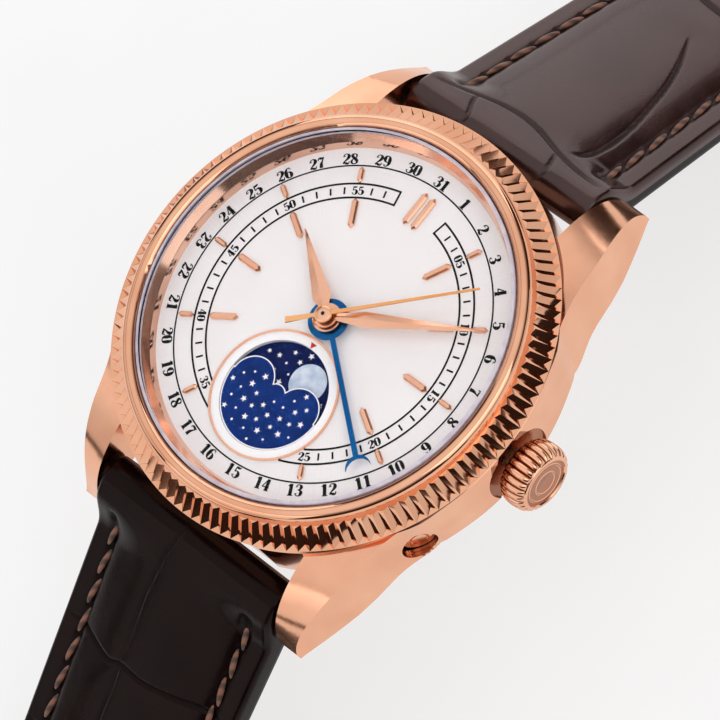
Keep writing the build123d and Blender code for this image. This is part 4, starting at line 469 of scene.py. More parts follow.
def layFloor():
    bpy.ops.mesh.primitive_plane_add(size=studio["floorSize"] * mm, location=(0, 0, studio["floorHeight"] * mm))
    floor = named("floor")
    finish, tree, shader, place = newFinish("paperSweep", {"Roughness": 0.9})
    fibre = addNode(tree, "TexNoise", {"Scale": per(30), "Detail": 3}, {"Vector": place})
    tone = addNode(tree, "ValToRGB", {"ramp": [(0.3, "#F6F6F7"), (0.7, "#FFFFFF")]}, {"Fac": fibre.outputs["Fac"]})
    tree.links.new(tone.outputs["Color"], shader.inputs["Base Color"])
    rays = addNode(tree, "LightPath", {})
    seen = addNode(tree, "Math", {"operation": "ADD", "use_clamp": True},
                   {0: rays.outputs["Is Camera Ray"], 1: rays.outputs["Is Glossy Ray"]})
    seen = addNode(tree, "Math", {"operation": "ADD", "use_clamp": True},
                   {0: seen.outputs[0], 1: rays.outputs["Is Transmission Ray"]})
    glow = addNode(tree, "Emission", {"Strength": 1.0})
    share = addNode(tree, "Math", {"operation": "MULTIPLY", 1: studio["glow"]}, {0: seen.outputs[0]})
    mix = addNode(tree, "MixShader", {}, {0: share.outputs[0], 1: shader.outputs["BSDF"], 2: glow.outputs[0]})
    tree.links.new(mix.outputs[0], tree.nodes["Material Output"].inputs["Surface"])
    floor.data.materials.append(finish)


def hangTent():
    world = bpy.data.worlds.new("studioTent")
    world.use_nodes = True
    bpy.context.scene.world = world
    tree = world.node_tree
    rays = addNode(tree, "LightPath", {})
    direction = addNode(tree, "TexCoord", {}).outputs["Generated"]
    height = addNode(tree, "SeparateXYZ", {}, {"Vector": direction}).outputs["Z"]
    # the tent: a dark band above the table between the lamps, grey silk overhead
    tent = addNode(tree, "ValToRGB", {"ramp": [
        (0.0, "#6A5C56"), (0.06, "#2A1F1B"), (0.42, "#3A2E2A"), (0.62, "#A89E9A"), (0.8, "#F6F4F3"),
        (1.0, "#FFFFFF")]}, {"Fac": height})
    # what is looked at through glass is the white backdrop too; light that reaches matt faces through it isn't
    through = addNode(tree, "Math", {"operation": "SUBTRACT", "use_clamp": True},
                      {0: rays.outputs["Is Transmission Ray"], 1: rays.outputs["Diffuse Depth"]})
    sight = addNode(tree, "Math", {"operation": "ADD", "use_clamp": True},
                    {0: rays.outputs["Is Camera Ray"], 1: through.outputs[0]})
    plain = addNode(tree, "MixRGB", {"Color1": toLinear("#CBCACA"), "Color2": toLinear("#FFFFFF")},
                    {"Fac": sight.outputs[0]})
    seen = addNode(tree, "MixRGB", {}, {"Fac": rays.outputs["Is Glossy Ray"], "Color1": plain.outputs["Color"],
                                       "Color2": tent.outputs["Color"]})
    tree.links.new(seen.outputs["Color"], tree.nodes["Background"].inputs["Color"])


def placeLamps():
    for name, (way, distance, sides, face) in studio["lamps"].items():
        spot = Vector(way).normalized() * distance * mm
        bpy.ops.object.light_add(type="AREA", location=spot)
        lamp = bpy.context.object
        lamp.name = name
        lamp.data.shape = "RECTANGLE"
        lamp.data.size, lamp.data.size_y = sides[0] * mm, sides[1] * mm
        lamp.data.energy = face * pi * sides[0] * sides[1] * mm * mm  # watts for that brightness
        lamp.rotation_euler = (-spot).to_track_quat("-Z", "Y").to_euler()


setCamera()
layFloor()
hangTent()
placeLamps()
print("stage set")

caseParts = {  # node: (piece, body, slot, finish, smoothing angle)
    "mid_case": ("caseMiddle", "case", "rose_gold", roseGold, 28),
    "bezel": ("flutedBezel", "case", "rose_gold", millGold, 24),
    "case_back_ring": ("caseBackRing", "case", "rose_gold", roseGold, 30),
    "corrector_pusher": ("correctorPusher", "corrector", "rose_gold", roseGold, 40),
    "rehaut": ("dialFlange", "case", "polished_steel", flangeGold, 12),
    "crystal_gasket": ("crystalGasket", "case", "seal_rubber", sealRubber, 40),
    "case_back_gasket": ("backGasket", "case", "seal_rubber", sealRubber, 40),
    "crown_stem": ("windingStem", "crown", "steel", steel, 40),
    "crown_tube": ("crownTube", "case", "steel", steel, 40),
    "spring_bars": ("springBars", "case", "steel", steel, 40),
    "buckle_bar": ("buckleBar", "buckle", "steel", steel, 40),
    "dial": ("dialPlate", "case", "dial_silver", dialSilver, 40),
    "subdial_ring": ("subdialRing", "case", "applied_gold", cutGold, 40),
    "movement_ring": ("movementRing", "case", "plated_brass", perlage, 40),
    "rotor": ("windingRotor", "rotor", "plated_brass", stripedRhodium, 40),
    "rotor_bearing": ("rotorBearing", "case", "steel", mirrorSteel, 40),
    "mainplate": ("mainPlate", "case", "plated_brass", perlage, 40),
    "train_bridge": ("trainBridge", "case", "plated_brass", stripedRhodium, 40),
    "balance_cock": ("balanceCock", "case", "plated_brass", stripedRhodium, 40),
    "barrel": ("mainspringBarrel", "barrel", "gilt_brass", giltBrass, 40),
    "balance_wheel": ("balanceRim", "balance", "gilt_brass", giltBrass, 40),
    "hairspring": ("hairspringCoil", "balance", "spring_alloy", springAlloy, 40),
    "jewels": ("rubyJewels", "case", "ruby", ruby, 40),
    "bridge_screws": ("bridgeScrews", "case", "hand_blue", bluedSteel, 40),
}

fineParts = {  # applied markers and hands, node: (piece, body, slot, finish)
    "outer_indices": ("outerMarkers", "case", "applied_gold", cutGold),
    "inner_indices": ("innerMarkers", "case", "applied_gold", cutGold),
    "twelve_marker": ("twelveMarker", "case", "applied_gold", cutGold),
    "hour_hand": ("hourHand", "hours", "applied_gold", cutGold),
    "minute_hand": ("minuteHand", "minutes", "applied_gold", cutGold),
    "second_hand": ("secondHand", "seconds", "applied_gold", yellowGold),
    "date_hand": ("dateHand", "date", "hand_blue", bluedSteel),
}

easedParts = {  # edges eased where fingers and light find them, node: (piece, body, bevel in mm)
    "buckle_frame": ("buckleFrame", "buckle", 0.12),
    "buckle_tongue": ("buckleTongue", "tongue", 0.08),
}

plainParts = {  # flat wheels and levers keep their CAD mesh and get the finish alone
    "ratchet_wheel": mirrorSteel, "crown_wheel": mirrorSteel, "winding_pinion": mirrorSteel,
    "pallet_fork": mirrorSteel, "calendar_jumpers": steel, "centre_wheel": giltBrass, "third_wheel": giltBrass,
    "fourth_wheel": giltBrass, "escape_wheel": giltBrass, "cannon_pinion": giltBrass, "minute_wheel": giltBrass,
    "hour_wheel": giltBrass, "date_wheel": giltBrass, "date_driver": giltBrass,
}

bezelPlan = {"lipFrom": 20.0, "lipRadius": 19.85, "crest": 18.78, "foot": 19.9, "reach": 20.3}


def spreadFlutes(bezel):
    # the copy's flutes are drawn out past the lip below them, so their teeth show against the light
    b = bezelPlan
    for vertex in bezel.data.vertices:
        radius = hypot(vertex.co.x, vertex.co.y) / mm
        if radius > b["lipFrom"]:
            wanted = b["lipRadius"]
        elif radius > b["crest"]:
            wanted = b["crest"] + (radius - b["crest"]) * (b["reach"] - b["crest"]) / (b["foot"] - b["crest"])
        else:
            continue
        vertex.co.x *= wanted / radius
        vertex.co.y *= wanted / radius


# where the lugs leave the case its flanks are drawn in or let out by these mm at these distances from its middle
flankFairing = {"along": (7.0, 8.0, 9.0, 10.0, 11.0, 12.0, 13.0, 14.0, 15.0, 16.0, 17.0),
                "out": (0, 0.04, 0.08, -0.15, -0.42, -0.6, -0.62, -0.5, -0.32, -0.15, 0),
                "wallFrom": 19.0, "wallFull": 19.8, "fullBelow": 4.0, "halfAbove": 8.0,
                "rimHeight": 8.3, "rimFrom": 20.0, "rimCut": 0.2, "rimWhole": 7.0, "rimEnd": 9.5}
# the corrector's and the crown's recesses, whose faces get the painted shade: turn from 3 o'clock, height, radius,
# and how deep they start
recesses = ((-30.0, 5.04, 1.6, 17.0), (0.0, 5.09, 3.6, 17.0))


def fairFlanks(case):
    f = flankFairing
    for vertex in case.data.vertices:
        x, y, z = vertex.co / mm
        radius = hypot(x, y)
        wall = min(1, max(0, (radius - f["wallFrom"]) / (f["wallFull"] - f["wallFrom"])))
        low = np.interp(z, (f["fullBelow"], f["halfAbove"]), (1, 0.5))
        vertex.co.x += np.interp(abs(y), f["along"], f["out"]) * wall * low * mm * (1 if x > 0 else -1)
        if z > f["rimHeight"] and radius > f["rimFrom"]:  # the top edge stands back from the flutes
            cut = f["rimCut"] * np.interp(abs(y), (f["rimWhole"], f["rimEnd"]), (1, 0))
            vertex.co.x *= 1 - cut / radius
            vertex.co.y *= 1 - cut / radius
    for turn, height, radius, depth in recesses:
        out = Vector((cos(radians(turn)), sin(radians(turn)), 0))
        side = Vector((-out.y, out.x, 0))
        for face in case.data.polygons:
            place = face.center / mm
            if hypot(place.dot(side), place.z - height) < radius and place.dot(out) > depth:
                # faces inside a recess take the darker gold as painted shade
                face.material_index = 1


flangePlan = {"stepFrom": 9.5, "stepTo": 9.9, "stepRadius": 16.25}


def stepFlange(flange):
    # the points between these heights go to this radius, so that the part below is steeper and mirrors the dates
    f = flangePlan
    for vertex in flange.data.vertices:
        x, y, z = vertex.co / mm
        if f["stepFrom"] < z < f["stepTo"]:
            vertex.co.x *= f["stepRadius"] / hypot(x, y)
            vertex.co.y *= f["stepRadius"] / hypot(x, y)


markerReach = {"outer_indices": (12.7, 1.19), "inner_indices": (11.3, 1.05)}  # the radius that stays, the stretch


def stretchMarkers(markers, still, stretch):
    # each marker is drawn out along its radius from the end that stays at the track
    for vertex in markers.data.vertices:
        radius = hypot(vertex.co.x, vertex.co.y) / mm
        wanted = still + (radius - still) * stretch
        vertex.co.x *= wanted / radius
        vertex.co.y *= wanted / radius


reshaped = {"bezel": spreadFlutes, "mid_case": fairFlanks, "rehaut": stepFlange}


def dressFrame():
    for node, (name, body, slot, finish, angle) in caseParts.items():
        # the case's second finish is the painted shade of its recesses
        finishes = (finish, paintedShadeGold) if node == "mid_case" else (finish, )
        piece = attach(refine(node, name, angle), body, slot, *finishes, standsFor=[node])
        if node in reshaped:
            reshaped[node](piece)
            smoothEdges(piece, angle)
    for node, finish in plainParts.items():
        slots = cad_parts[node].material_slots
        if not slots:
            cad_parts[node].data.materials.append(finish)
        for slot in slots:
            slot.material = finish
    for node, (name, body, bevel) in easedParts.items():
        attach(refine(node, name, 35, bevel), body, "rose_gold", roseGold, standsFor=[node])
    for node, (name, body, slot, finish) in fineParts.items():
        piece = attach(refine(node, name, 25), body, slot, finish, standsFor=[node])
        if node in markerReach:
            stretchMarkers(piece, *markerReach[node])


dressFrame()
print("frame dressed")

# the crystal is turned finer than its CAD solid
glassPlan = {"rim": 17.0, "foot": 10.39, "edge": 11.24, "bevel": 0.3, "apex": 12.49, "thickness": 0.75,
             "skirt": 0.25, "skirtHeight": 0.35, "rings": 12, "steps": 128}


def domeLine(rim, rimHeight, apex, count):
    rise = apex - rimHeight
    radius = (rim ** 2 + rise ** 2) / (2 * rise)
    places = [rim * (1 - i / count) for i in range(count + 1)]
    return [(r, apex - radius + sqrt(radius ** 2 - r ** 2)) for r in places]


def makeGlasses():
    g = glassPlan
    rimHeight = g["edge"] + g["bevel"] / 2
    outer = domeLine(g["rim"] - g["bevel"], rimHeight, g["apex"], g["rings"])
    innerRim = g["rim"] - g["skirt"]
    inner = domeLine(innerRim, g["foot"] + g["skirtHeight"], g["apex"] - g["thickness"], g["rings"])
    outline = inner[::-1] + [(innerRim, g["foot"]), (g["rim"], g["foot"]), (g["rim"], g["edge"])] + outer
    crystal = turned("domedCrystal", outline, g["steps"])
    smoothEdges(crystal, 30)
    attach(crystal, "case", "sapphire", sapphire, groundRim, standsFor=["crystal"])
    for face in crystal.data.polygons:  # the rim and its bevel are ground
        outside = hypot(face.center.x, face.center.y) > (g["rim"] - g["bevel"]) * mm
        face.material_index = 1 if outside and face.normal.z > -0.5 else 0
    back = refine("case_back_glass", "displayGlass", 30)
    attach(back, "case", "sapphire", sapphire, standsFor=["case_back_glass"])


makeGlasses()
print("glasses made")

# the seconds hand carries a turned cap, open over the end of its staff; that end is painted black, painted shade
handCapPlan = {"cap": [(0.14, 11.05), (0.17, 11.13), (0.3, 11.15), (0.62, 11.13), (0.72, 11.06), (0.14, 11.05)],
               "staff": [(0, 11.1), (0.1, 11.095), (0.15, 11.07), (0.15, 11.0), (0, 11.0)], "steps": 48}


def makeHandCap():
    cap = turned("handCap", handCapPlan["cap"], handCapPlan["steps"])
    smoothEdges(cap, 40)
    attach(cap, "seconds", "applied_gold", cutGold)
    staff = turned("handStaff", handCapPlan["staff"], handCapPlan["steps"])
    smoothEdges(staff, 40)
    # painted shade: the steel staff's end takes the black print colour
    attach(staff, "seconds", "hand_blue", printBlack)


makeHandCap()

# the crown has rounded ribs and a plain cap with turned rings
crownPlan = {
    "inner": 20.55, "length": 2.75, "height": 5.09, "radius": 3.12, "shoulder": 2.72, "cap": 2.5,
    "wall": 0.22, "sink": 0.12, "ribs": 26, "ribDepth": 0.34, "ribSteps": 8, "valley": 0.4, "valleyFrom": 2,
    "barrelSteps": 8, "roundness": 0.6, "foot": 0.25, "footRise": 0.06, "edge": 0.04, "lip": 0.08,
    "lipTop": 0.05, "draft": 0.06, "ribFrom": 0.25, "ribFull": 0.4, "slack": 0.02, "fieldDepth": 0.03,
    # the turned rings of the sunk field, as (radius, height above the field)
    "rings": [(1.95, 0), (1.9, 0.05), (1.78, 0.05), (1.73, 0), (1.2, 0.01), (1.15, 0.06), (1.05, 0.06),
              (1.0, 0.01), (0, 0.03)],
}


def ribWave(y, z):  # 0 between two ribs, 1 on a rib's crest
    return abs(sin(crownPlan["ribs"] / 2 * atan2(y, z)))


def makeCrown():
    c = crownPlan
    outer = c["inner"] + c["length"]
    low, high = c["inner"], outer - c["sink"]
    barrel = []
    for i in range(1, c["barrelSteps"]):
        t = i / c["barrelSteps"]
        swell = (c["radius"] - c["shoulder"]) * sin(pi * t) ** c["roundness"]
        barrel.append((c["shoulder"] + swell, low + (high - low) * t))
    foot = [(0, low), (c["shoulder"] - c["foot"], low), (c["shoulder"], low + c["footRise"])]
    cap = [(c["shoulder"], high - c["edge"]), (c["cap"] + c["lip"], high),
           (c["cap"] + c["lipTop"], outer - c["edge"]), (c["cap"], outer), (c["cap"] - c["wall"], outer),
           (c["cap"] - c["wall"] - c["draft"], high)]
    field = [(radius, high + rise) for radius, rise in c["rings"]]
    crown = turned("windingCrown", foot + barrel + cap + field, c["ribs"] * c["ribSteps"],
                   centre=(0, 0, c["height"]), axis=(1, 0, 0), across=(0, 0, 1))
    for vertex in crown.data.vertices:  # ribs: the barrel is drawn in between them
        x, y, z = vertex.co / mm
        z -= c["height"]
        r = hypot(y, z)
        if r > c["shoulder"] - c["slack"] and low < x < high:
            share = min(1, (r - c["shoulder"] + c["ribFrom"]) / c["ribFull"])
            factor = 1 - c["ribDepth"] * share * (1 - ribWave(y, z) ** c["roundness"]) / r
            vertex.co = (x * mm, y * factor * mm, (c["height"] + z * factor) * mm)
    smoothEdges(crown, 50)
    attach(crown, "crown", "rose_gold", roseGold, blastedGold, paintedShadeGold, standsFor=["crown"])
    for face in crown.data.polygons:
        x, y, z = face.center / mm
        z -= c["height"]
        r = hypot(y, z)
        sunk = x > high - c["fieldDepth"] and r < c["cap"] - c["wall"] and abs(face.normal.x) > 0.9
        # the faces between the ribs take the darker gold as painted shade
        valley = low < x < high and r > c["valleyFrom"] and ribWave(y, z) < c["valley"]
        face.material_index = 1 if sunk else 2 if valley else 0


makeCrown()
print("crown made")

dialPlan = {
    "top": 8.99, "film": 0.02, "dateRadius": 14.98, "dateHeight": 0.99, "dateLine": 14.35,
    "trackInner": 11.4, "trackOuter": 12.68, "line": 0.14, "trackLine": 0.18, "trackStart": 12, "trackGap": 0.4,
    "tickLength": 0.64, "tickWidth": 0.17, "ticksClear": 28,
    "minuteHeight": 0.76, "figureAdvance": 0.59, "figureWidth": 1.27,
    "moonY": -7.8, "subdialRadius": 5.9, "whiteInner": 4.97, "whiteOuter": 5.73,
    "pointer": 0.36, "pointerUp": 5.3, "pointerShape": (1.05, -0.95), "pointerLift": 0.01,
    # ink runs a little wider than each stroke is drawn, and no hairline is finer than this
    "inkGain": 1.2, "inkSpread": 0.012, "inkLeast": 0.04,
}


def layer(lift=0.0):
    return (dialPlan["top"] + dialPlan["film"] + lift) * mm


def clockTurn(angle):  # a turn about the dial's centre, clockwise from 12
    return Matrix.Rotation(-radians(angle), 4, "Z")


def arcBand(name, radius, width, start, sweep, centre=(0, 0)):
    # a flat band along a circle, from a clock angle, spun from one short edge
    nothingPicked()
    bpy.ops.mesh.primitive_plane_add(size=width * mm, location=(0, radius * mm, 0))
    band = named(name)
    for vertex in band.data.vertices:  # the plane folds to one radial edge
        vertex.co.x = 0
    welded = (bpy.ops.mesh.remove_doubles, {"threshold": weld["band"] * mm})
    onWhole(welded, (bpy.ops.mesh.delete, {"type": "ONLY_FACE"}),
            (bpy.ops.mesh.spin, {"steps": max(3, int(sweep / 2)), "angle": radians(sweep),
                                 "center": (0, 0, 0), "axis": (0, 0, 1)}), welded)
    band.data.transform(Matrix.Translation((centre[0] * mm, centre[1] * mm, layer())) @ clockTurn(start))
    return band


def faceUp(piece):
    pick(piece)
    onWhole((bpy.ops.mesh.normals_make_consistent, {"inside": False}))
    if sum(face.normal.z * face.area for face in piece.data.polygons) < 0:
        onWhole((bpy.ops.mesh.flip_normals, {}))


# figures of thick stems and hairlines, as (across, up, half thickness) along each stroke, one unit tall
figureStrokes = {
    "0": [[(0.27, 0.98, 0.02), (0.11, 0.84, 0.065), (0.09, 0.5, 0.095), (0.11, 0.16, 0.065), (0.27, 0.02, 0.02),
           (0.43, 0.16, 0.065), (0.45, 0.5, 0.095), (0.43, 0.84, 0.065), (0.27, 0.98, 0.02)]],
    "1": [[(0.29, 0.0, 0.095), (0.29, 1.0, 0.095)], [(0.1, 0.02, 0.025), (0.48, 0.02, 0.025)],
          [(0.09, 0.8, 0.02), (0.2, 0.88, 0.045), (0.27, 0.97, 0.03)]],
    "2": [[(0.1, 0.76, 0.075), (0.12, 0.7, 0.075)],
          [(0.06, 0.74, 0.03), (0.12, 0.9, 0.025), (0.27, 0.975, 0.025), (0.41, 0.88, 0.07), (0.44, 0.72, 0.095),
           (0.36, 0.52, 0.07), (0.18, 0.3, 0.035), (0.06, 0.12, 0.025)],
          [(0.05, 0.07, 0.04), (0.16, 0.14, 0.055), (0.3, 0.08, 0.08), (0.42, 0.06, 0.05), (0.47, 0.13, 0.025),
           (0.5, 0.27, 0.015)]],
    "3": [[(0.11, 0.79, 0.07), (0.12, 0.75, 0.07)], [(0.1, 0.25, 0.07), (0.11, 0.21, 0.07)],
          [(0.07, 0.8, 0.03), (0.14, 0.93, 0.025), (0.27, 0.975, 0.025), (0.4, 0.88, 0.075), (0.42, 0.74, 0.085),
           (0.35, 0.58, 0.045), (0.2, 0.53, 0.02)],
          [(0.2, 0.53, 0.02), (0.36, 0.49, 0.04), (0.45, 0.37, 0.085), (0.45, 0.24, 0.095), (0.4, 0.09, 0.06),
           (0.27, 0.025, 0.025), (0.12, 0.08, 0.025), (0.06, 0.2, 0.03)]],
    "4": [[(0.38, 0.0, 0.09), (0.38, 1.0, 0.09)], [(0.34, 0.98, 0.025), (0.05, 0.33, 0.025)],
          [(0.02, 0.3, 0.03), (0.55, 0.3, 0.03)], [(0.22, 0.02, 0.025), (0.54, 0.02, 0.025)]],
    "5": [[(0.1, 0.95, 0.04), (0.26, 0.9, 0.075), (0.45, 0.97, 0.03)], [(0.11, 0.96, 0.022), (0.11, 0.5, 0.022)],
          [(0.1, 0.24, 0.07), (0.11, 0.2, 0.07)],
          [(0.11, 0.5, 0.02), (0.22, 0.6, 0.025), (0.36, 0.56, 0.06), (0.45, 0.42, 0.09), (0.45, 0.25, 0.095),
           (0.39, 0.09, 0.055), (0.25, 0.025, 0.025), (0.12, 0.08, 0.025), (0.06, 0.2, 0.03)]],
    "6": [[(0.43, 0.84, 0.065), (0.42, 0.8, 0.065)],
          [(0.44, 0.88, 0.03), (0.34, 0.975, 0.025), (0.2, 0.91, 0.04), (0.1, 0.7, 0.085), (0.09, 0.35, 0.095),
           (0.14, 0.11, 0.055), (0.27, 0.025, 0.025), (0.4, 0.1, 0.065), (0.45, 0.3, 0.09), (0.4, 0.51, 0.055),
           (0.28, 0.59, 0.025), (0.17, 0.53, 0.02), (0.12, 0.42, 0.02)]],
    "7": [[(0.06, 0.72, 0.015), (0.08, 0.88, 0.03), (0.2, 0.92, 0.08), (0.35, 0.89, 0.07), (0.47, 0.97, 0.03)],
          [(0.47, 0.96, 0.02), (0.35, 0.64, 0.035), (0.26, 0.36, 0.08), (0.25, 0.0, 0.1)]],
    "8": [[(0.27, 0.975, 0.025), (0.13, 0.9, 0.06), (0.11, 0.76, 0.08), (0.2, 0.61, 0.08), (0.35, 0.46, 0.09),
           (0.45, 0.29, 0.08), (0.44, 0.12, 0.05), (0.27, 0.025, 0.025), (0.11, 0.1, 0.05), (0.07, 0.27, 0.055),
           (0.14, 0.43, 0.035), (0.3, 0.56, 0.022), (0.4, 0.68, 0.035), (0.41, 0.86, 0.04), (0.27, 0.975, 0.025)]],
}
figureStrokes["9"] = [[(0.54 - x, 1 - y, w) for x, y, w in stroke] for stroke in figureStrokes["6"]]


def inkStroke(points):
    # a flat grid strip, its two long sides laid out either side of the stroke's line
    d = dialPlan
    line = smoothLine(points, 6 if len(points) > 2 else 1)
    ahead = np.gradient(line[:, :2], axis=0)
    ahead /= np.linalg.norm(ahead, axis=1)[:, None] + 1e-9
    half = np.maximum(line[:, 2:] * d["inkGain"] + d["inkSpread"], d["inkLeast"])
    side = np.stack([-ahead[:, 1], ahead[:, 0]], -1) * half
    nothingPicked()
    bpy.ops.mesh.primitive_grid_add(x_subdivisions=len(line) - 1, y_subdivisions=1, size=1)
    strip = named("inkStroke")
    for vertex in strip.data.vertices:
        i = round((vertex.co.x + 0.5) * (len(line) - 1))
        spot = line[i, :2] + side[i] * (1 if vertex.co.y > 0 else -1)
        vertex.co = (spot[0], spot[1], 0)
    return strip


inkedFigures = {}


def figure(text, height, weight, radius, angle):
    # one printed number; in the lower half of the dial its foot is turned to the rim
    strokes = []
    for place, digit in enumerate(text):
        if digit not in inkedFigures:
            inkedFigures[digit] = joined([inkStroke(stroke) for stroke in figureStrokes[digit]], "figure" + digit)
        shift = (place - len(text) / 2) * dialPlan["figureAdvance"]
        strokes.append(duplicate(inkedFigures[digit], Matrix.Translation((shift, -0.5, 0))))
    number = joined(strokes, "number" + text)
    flip = 180 if 90 < angle < 270 else 0
    number.data.transform(clockTurn(angle) @ Matrix.Translation((0, radius * mm, layer())) @
                          Matrix.Rotation(radians(flip), 4, "Z") @
                          Matrix.Diagonal((height * weight * mm, height * mm, 1, 1)))
    return number


def makeDialPrint():
    d = dialPlan
    marks = [arcBand("dateLine", d["dateLine"], d["line"], 0, 360)]
    middle = (d["trackInner"] + d["trackOuter"]) / 2
    for radius in (d["trackInner"], d["trackOuter"]):  # each side of the track ends at the subdial's ring
        near = (radius ** 2 + d["moonY"] ** 2 - d["subdialRadius"] ** 2) / (2 * radius * -d["moonY"])
        reach = 180 - np.degrees(np.arccos(near)) - d["trackGap"]
        for start in (d["trackStart"], 360 - reach):
            marks.append(arcBand("track", radius, d["trackLine"], start, reach - d["trackStart"]))
    for minute in range(2, 59):
        angle = minute * 6
        if abs(angle - 180) < d["ticksClear"] or minute % 5 == 0:
            continue
        end = minute in (2, 58)  # the lines that close the track on either side of 12
        nothingPicked()
        bpy.ops.mesh.primitive_plane_add(size=mm)
        tick = named("tick")
        length = d["trackOuter"] - d["trackInner"] + d["trackLine"] if end else d["tickLength"]
        tick.data.transform(clockTurn(angle) @ Matrix.Translation((0, middle * mm, layer())) @
                            Matrix.Diagonal((d["trackLine"] if end else d["tickWidth"], length, 1, 1)))
        marks.append(tick)
    for minute in range(5, 60, 5):
        if minute != 30:
            marks.append(figure(f"{minute:02d}", d["minuteHeight"], d["figureWidth"], middle, minute * 6))
    for day in range(1, 32):
        marks.append(figure(str(day), d["dateHeight"], d["figureWidth"], d["dateRadius"], day * 360 / 31))
    for shape in inkedFigures.values():
        bpy.data.objects.remove(shape)
    dialPrint = joined(marks, "dialPrint")
    faceUp(dialPrint)
    attach(dialPrint, "case", "dial_silver", printBlack)

    whiteRing = arcBand("moonWhiteRing", (d["whiteInner"] + d["whiteOuter"]) / 2, d["whiteOuter"] - d["whiteInner"],
                        0, 360, centre=(0, d["moonY"]))
    faceUp(whiteRing)
    attach(whiteRing, "case", "dial_silver", printWhite)

    nothingPicked()
    bpy.ops.mesh.primitive_circle_add(vertices=3, radius=d["pointer"] * mm, fill_type="NGON")
    pointer = named("moonPointer")
    place = Matrix.Translation((0, (d["moonY"] + d["pointerUp"]) * mm, layer(d["pointerLift"])))
    pointer.data.transform(place @ Matrix.Diagonal((*d["pointerShape"], 1, 1)))
    faceUp(pointer)
    attach(pointer, "case", "dial_silver", printRed)


makeDialPrint()
print("dial printed")

moonPlan = {
    "centre": (0, -7.8), "discTop": 8.41, "maskTop": 8.95, "orbit": 2.95, "moon": 1.74, "turn": 32.0,
    "humpX": 2.67, "humpRadius": 2.1, "window": 4.95, "edge": 0.1, "film": 0.02, "maskFilm": 0.015,
    "lineArea": 2,  # mm2: a face of the mask's top that is smaller belongs to its white line
    # stars: how many, their turn from one to the next, how far out they reach and how far from edges they keep
    "stars": 58, "step": 137.508, "reach": 4.65, "margin": 0.45, "below": 0.18, "dip": 0.6,
    "spin": 0.9, "pole": 0.9, "moonGap": 0.3,
    "sizes": (0.33, 0.12, 0.25, 0.11, 0.28), "bigFrom": 0.2, "bigShape": (5, 0.42), "smallShape": (6, 0.93),
}


def starPiece(size, points, waist):
    nothingPicked()
    bpy.ops.mesh.primitive_circle_add(vertices=points * 2, radius=size * mm, fill_type="TRIFAN")
    star = named("star")
    rim = [v for v in star.data.vertices if v.co.length > 0.1 * size * mm]
    for vertex in rim:  # every second point is drawn in
        step = round(atan2(vertex.co.y, vertex.co.x) / (pi / points) + 0.5 * (points % 2))
        vertex.co *= waist if step % 2 else 1
    return star


def inMask(x, y):
    m = moonPlan
    x, y = x - m["centre"][0], y - m["centre"][1]
    margin = m["margin"]
    if hypot(x, y) > m["window"] - margin:
        return False
    if y < -m["below"]:
        return True
    inHump = any(hypot(x - hump, y) < m["humpRadius"] - margin for hump in (-m["humpX"], m["humpX"]))
    return inHump or hypot(x, y) < m["dip"]


def makeMoonWorks():
    m = moonPlan
    cx, cy = m["centre"]
    # the mask: a white line along its upper edge, drawn as an inset of its face
    mask = refine("moon_mask", "moonMask", 30)
    pick(mask)
    onWhole((bpy.ops.mesh.dissolve_limited, {"angle_limit": radians(flatAngle)}),
            (bpy.ops.mesh.select_all, {"action": "DESELECT"}))
    top = max(mask.data.polygons, key=lambda face: face.area * (face.normal.z > 0.9) * (face.center.z + 1))
    top.select = True
    bpy.ops.object.mode_set(mode="EDIT")
    bpy.ops.mesh.inset(thickness=m["edge"] * mm, depth=0)
    bpy.ops.object.mode_set(mode="OBJECT")
    attach(mask, "case", "mask_blue", maskBlue, printWhite, standsFor=["moon_mask"])
    for face in mask.data.polygons:
        inset = face.normal.z > 0.9 and face.center.z > (m["maskTop"] - m["film"]) * mm
        face.material_index = 1 if inset and face.area < m["lineArea"] * mm * mm else 0

    disc = refine("moon_disc", "moonDisc", 30)
    attach(disc, "moon", "moon_blue", moonNight, standsFor=["moon_disc"])
    moons = []
    for turn in (m["turn"], m["turn"] + 180):
        nothingPicked()
        bpy.ops.mesh.primitive_circle_add(vertices=64, radius=m["moon"] * mm, fill_type="TRIFAN")
        moon = named("moonFace")
        place = clockTurn(turn) @ Vector((0, m["orbit"] * mm, 0))
        moon.data.transform(Matrix.Translation((place.x + cx * mm, place.y + cy * mm,
                                                (m["discTop"] + m["film"]) * mm)))
        moons.append(moon)
    moons = joined(moons, "twoMoons")
    attach(moons, "moon", "moon_blue", moonPearl)

    # stars of five points, and dots between them, in a layout of their own from a plain counting rule
    maskStars, discStars = [], []
    hubs = [(m["orbit"] * sin(radians(t)), m["orbit"] * cos(radians(t))) for t in (m["turn"], m["turn"] + 180)]
    for i in range(1, m["stars"]):
        angle, radius = radians(i * m["step"]), sqrt(i / m["stars"]) * m["reach"]
        dx, dy = radius * sin(angle), radius * cos(angle)
        if inMask(cx + dx, cy + dy):
            stars, height = maskStars, m["maskTop"] + m["maskFilm"]
        elif radius > m["pole"] and all(hypot(dx - x, dy - y) > m["moon"] + m["moonGap"] for x, y in hubs):
            stars, height = discStars, m["discTop"] + m["film"]
        else:
            continue
        size = m["sizes"][i % len(m["sizes"])]
        star = starPiece(size, *(m["bigShape"] if size > m["bigFrom"] else m["smallShape"]))
        star.data.transform(Matrix.Translation(((cx + dx) * mm, (cy + dy) * mm, height * mm)) @
                            Matrix.Rotation(i * m["spin"], 4, "Z"))
        stars.append(star)
    attach(joined(maskStars, "maskStars"), "case", "mask_blue", printWhite)
    attach(joined(discStars, "discStars"), "moon", "moon_blue", printWhite)


makeMoonWorks()
print("moon works made")

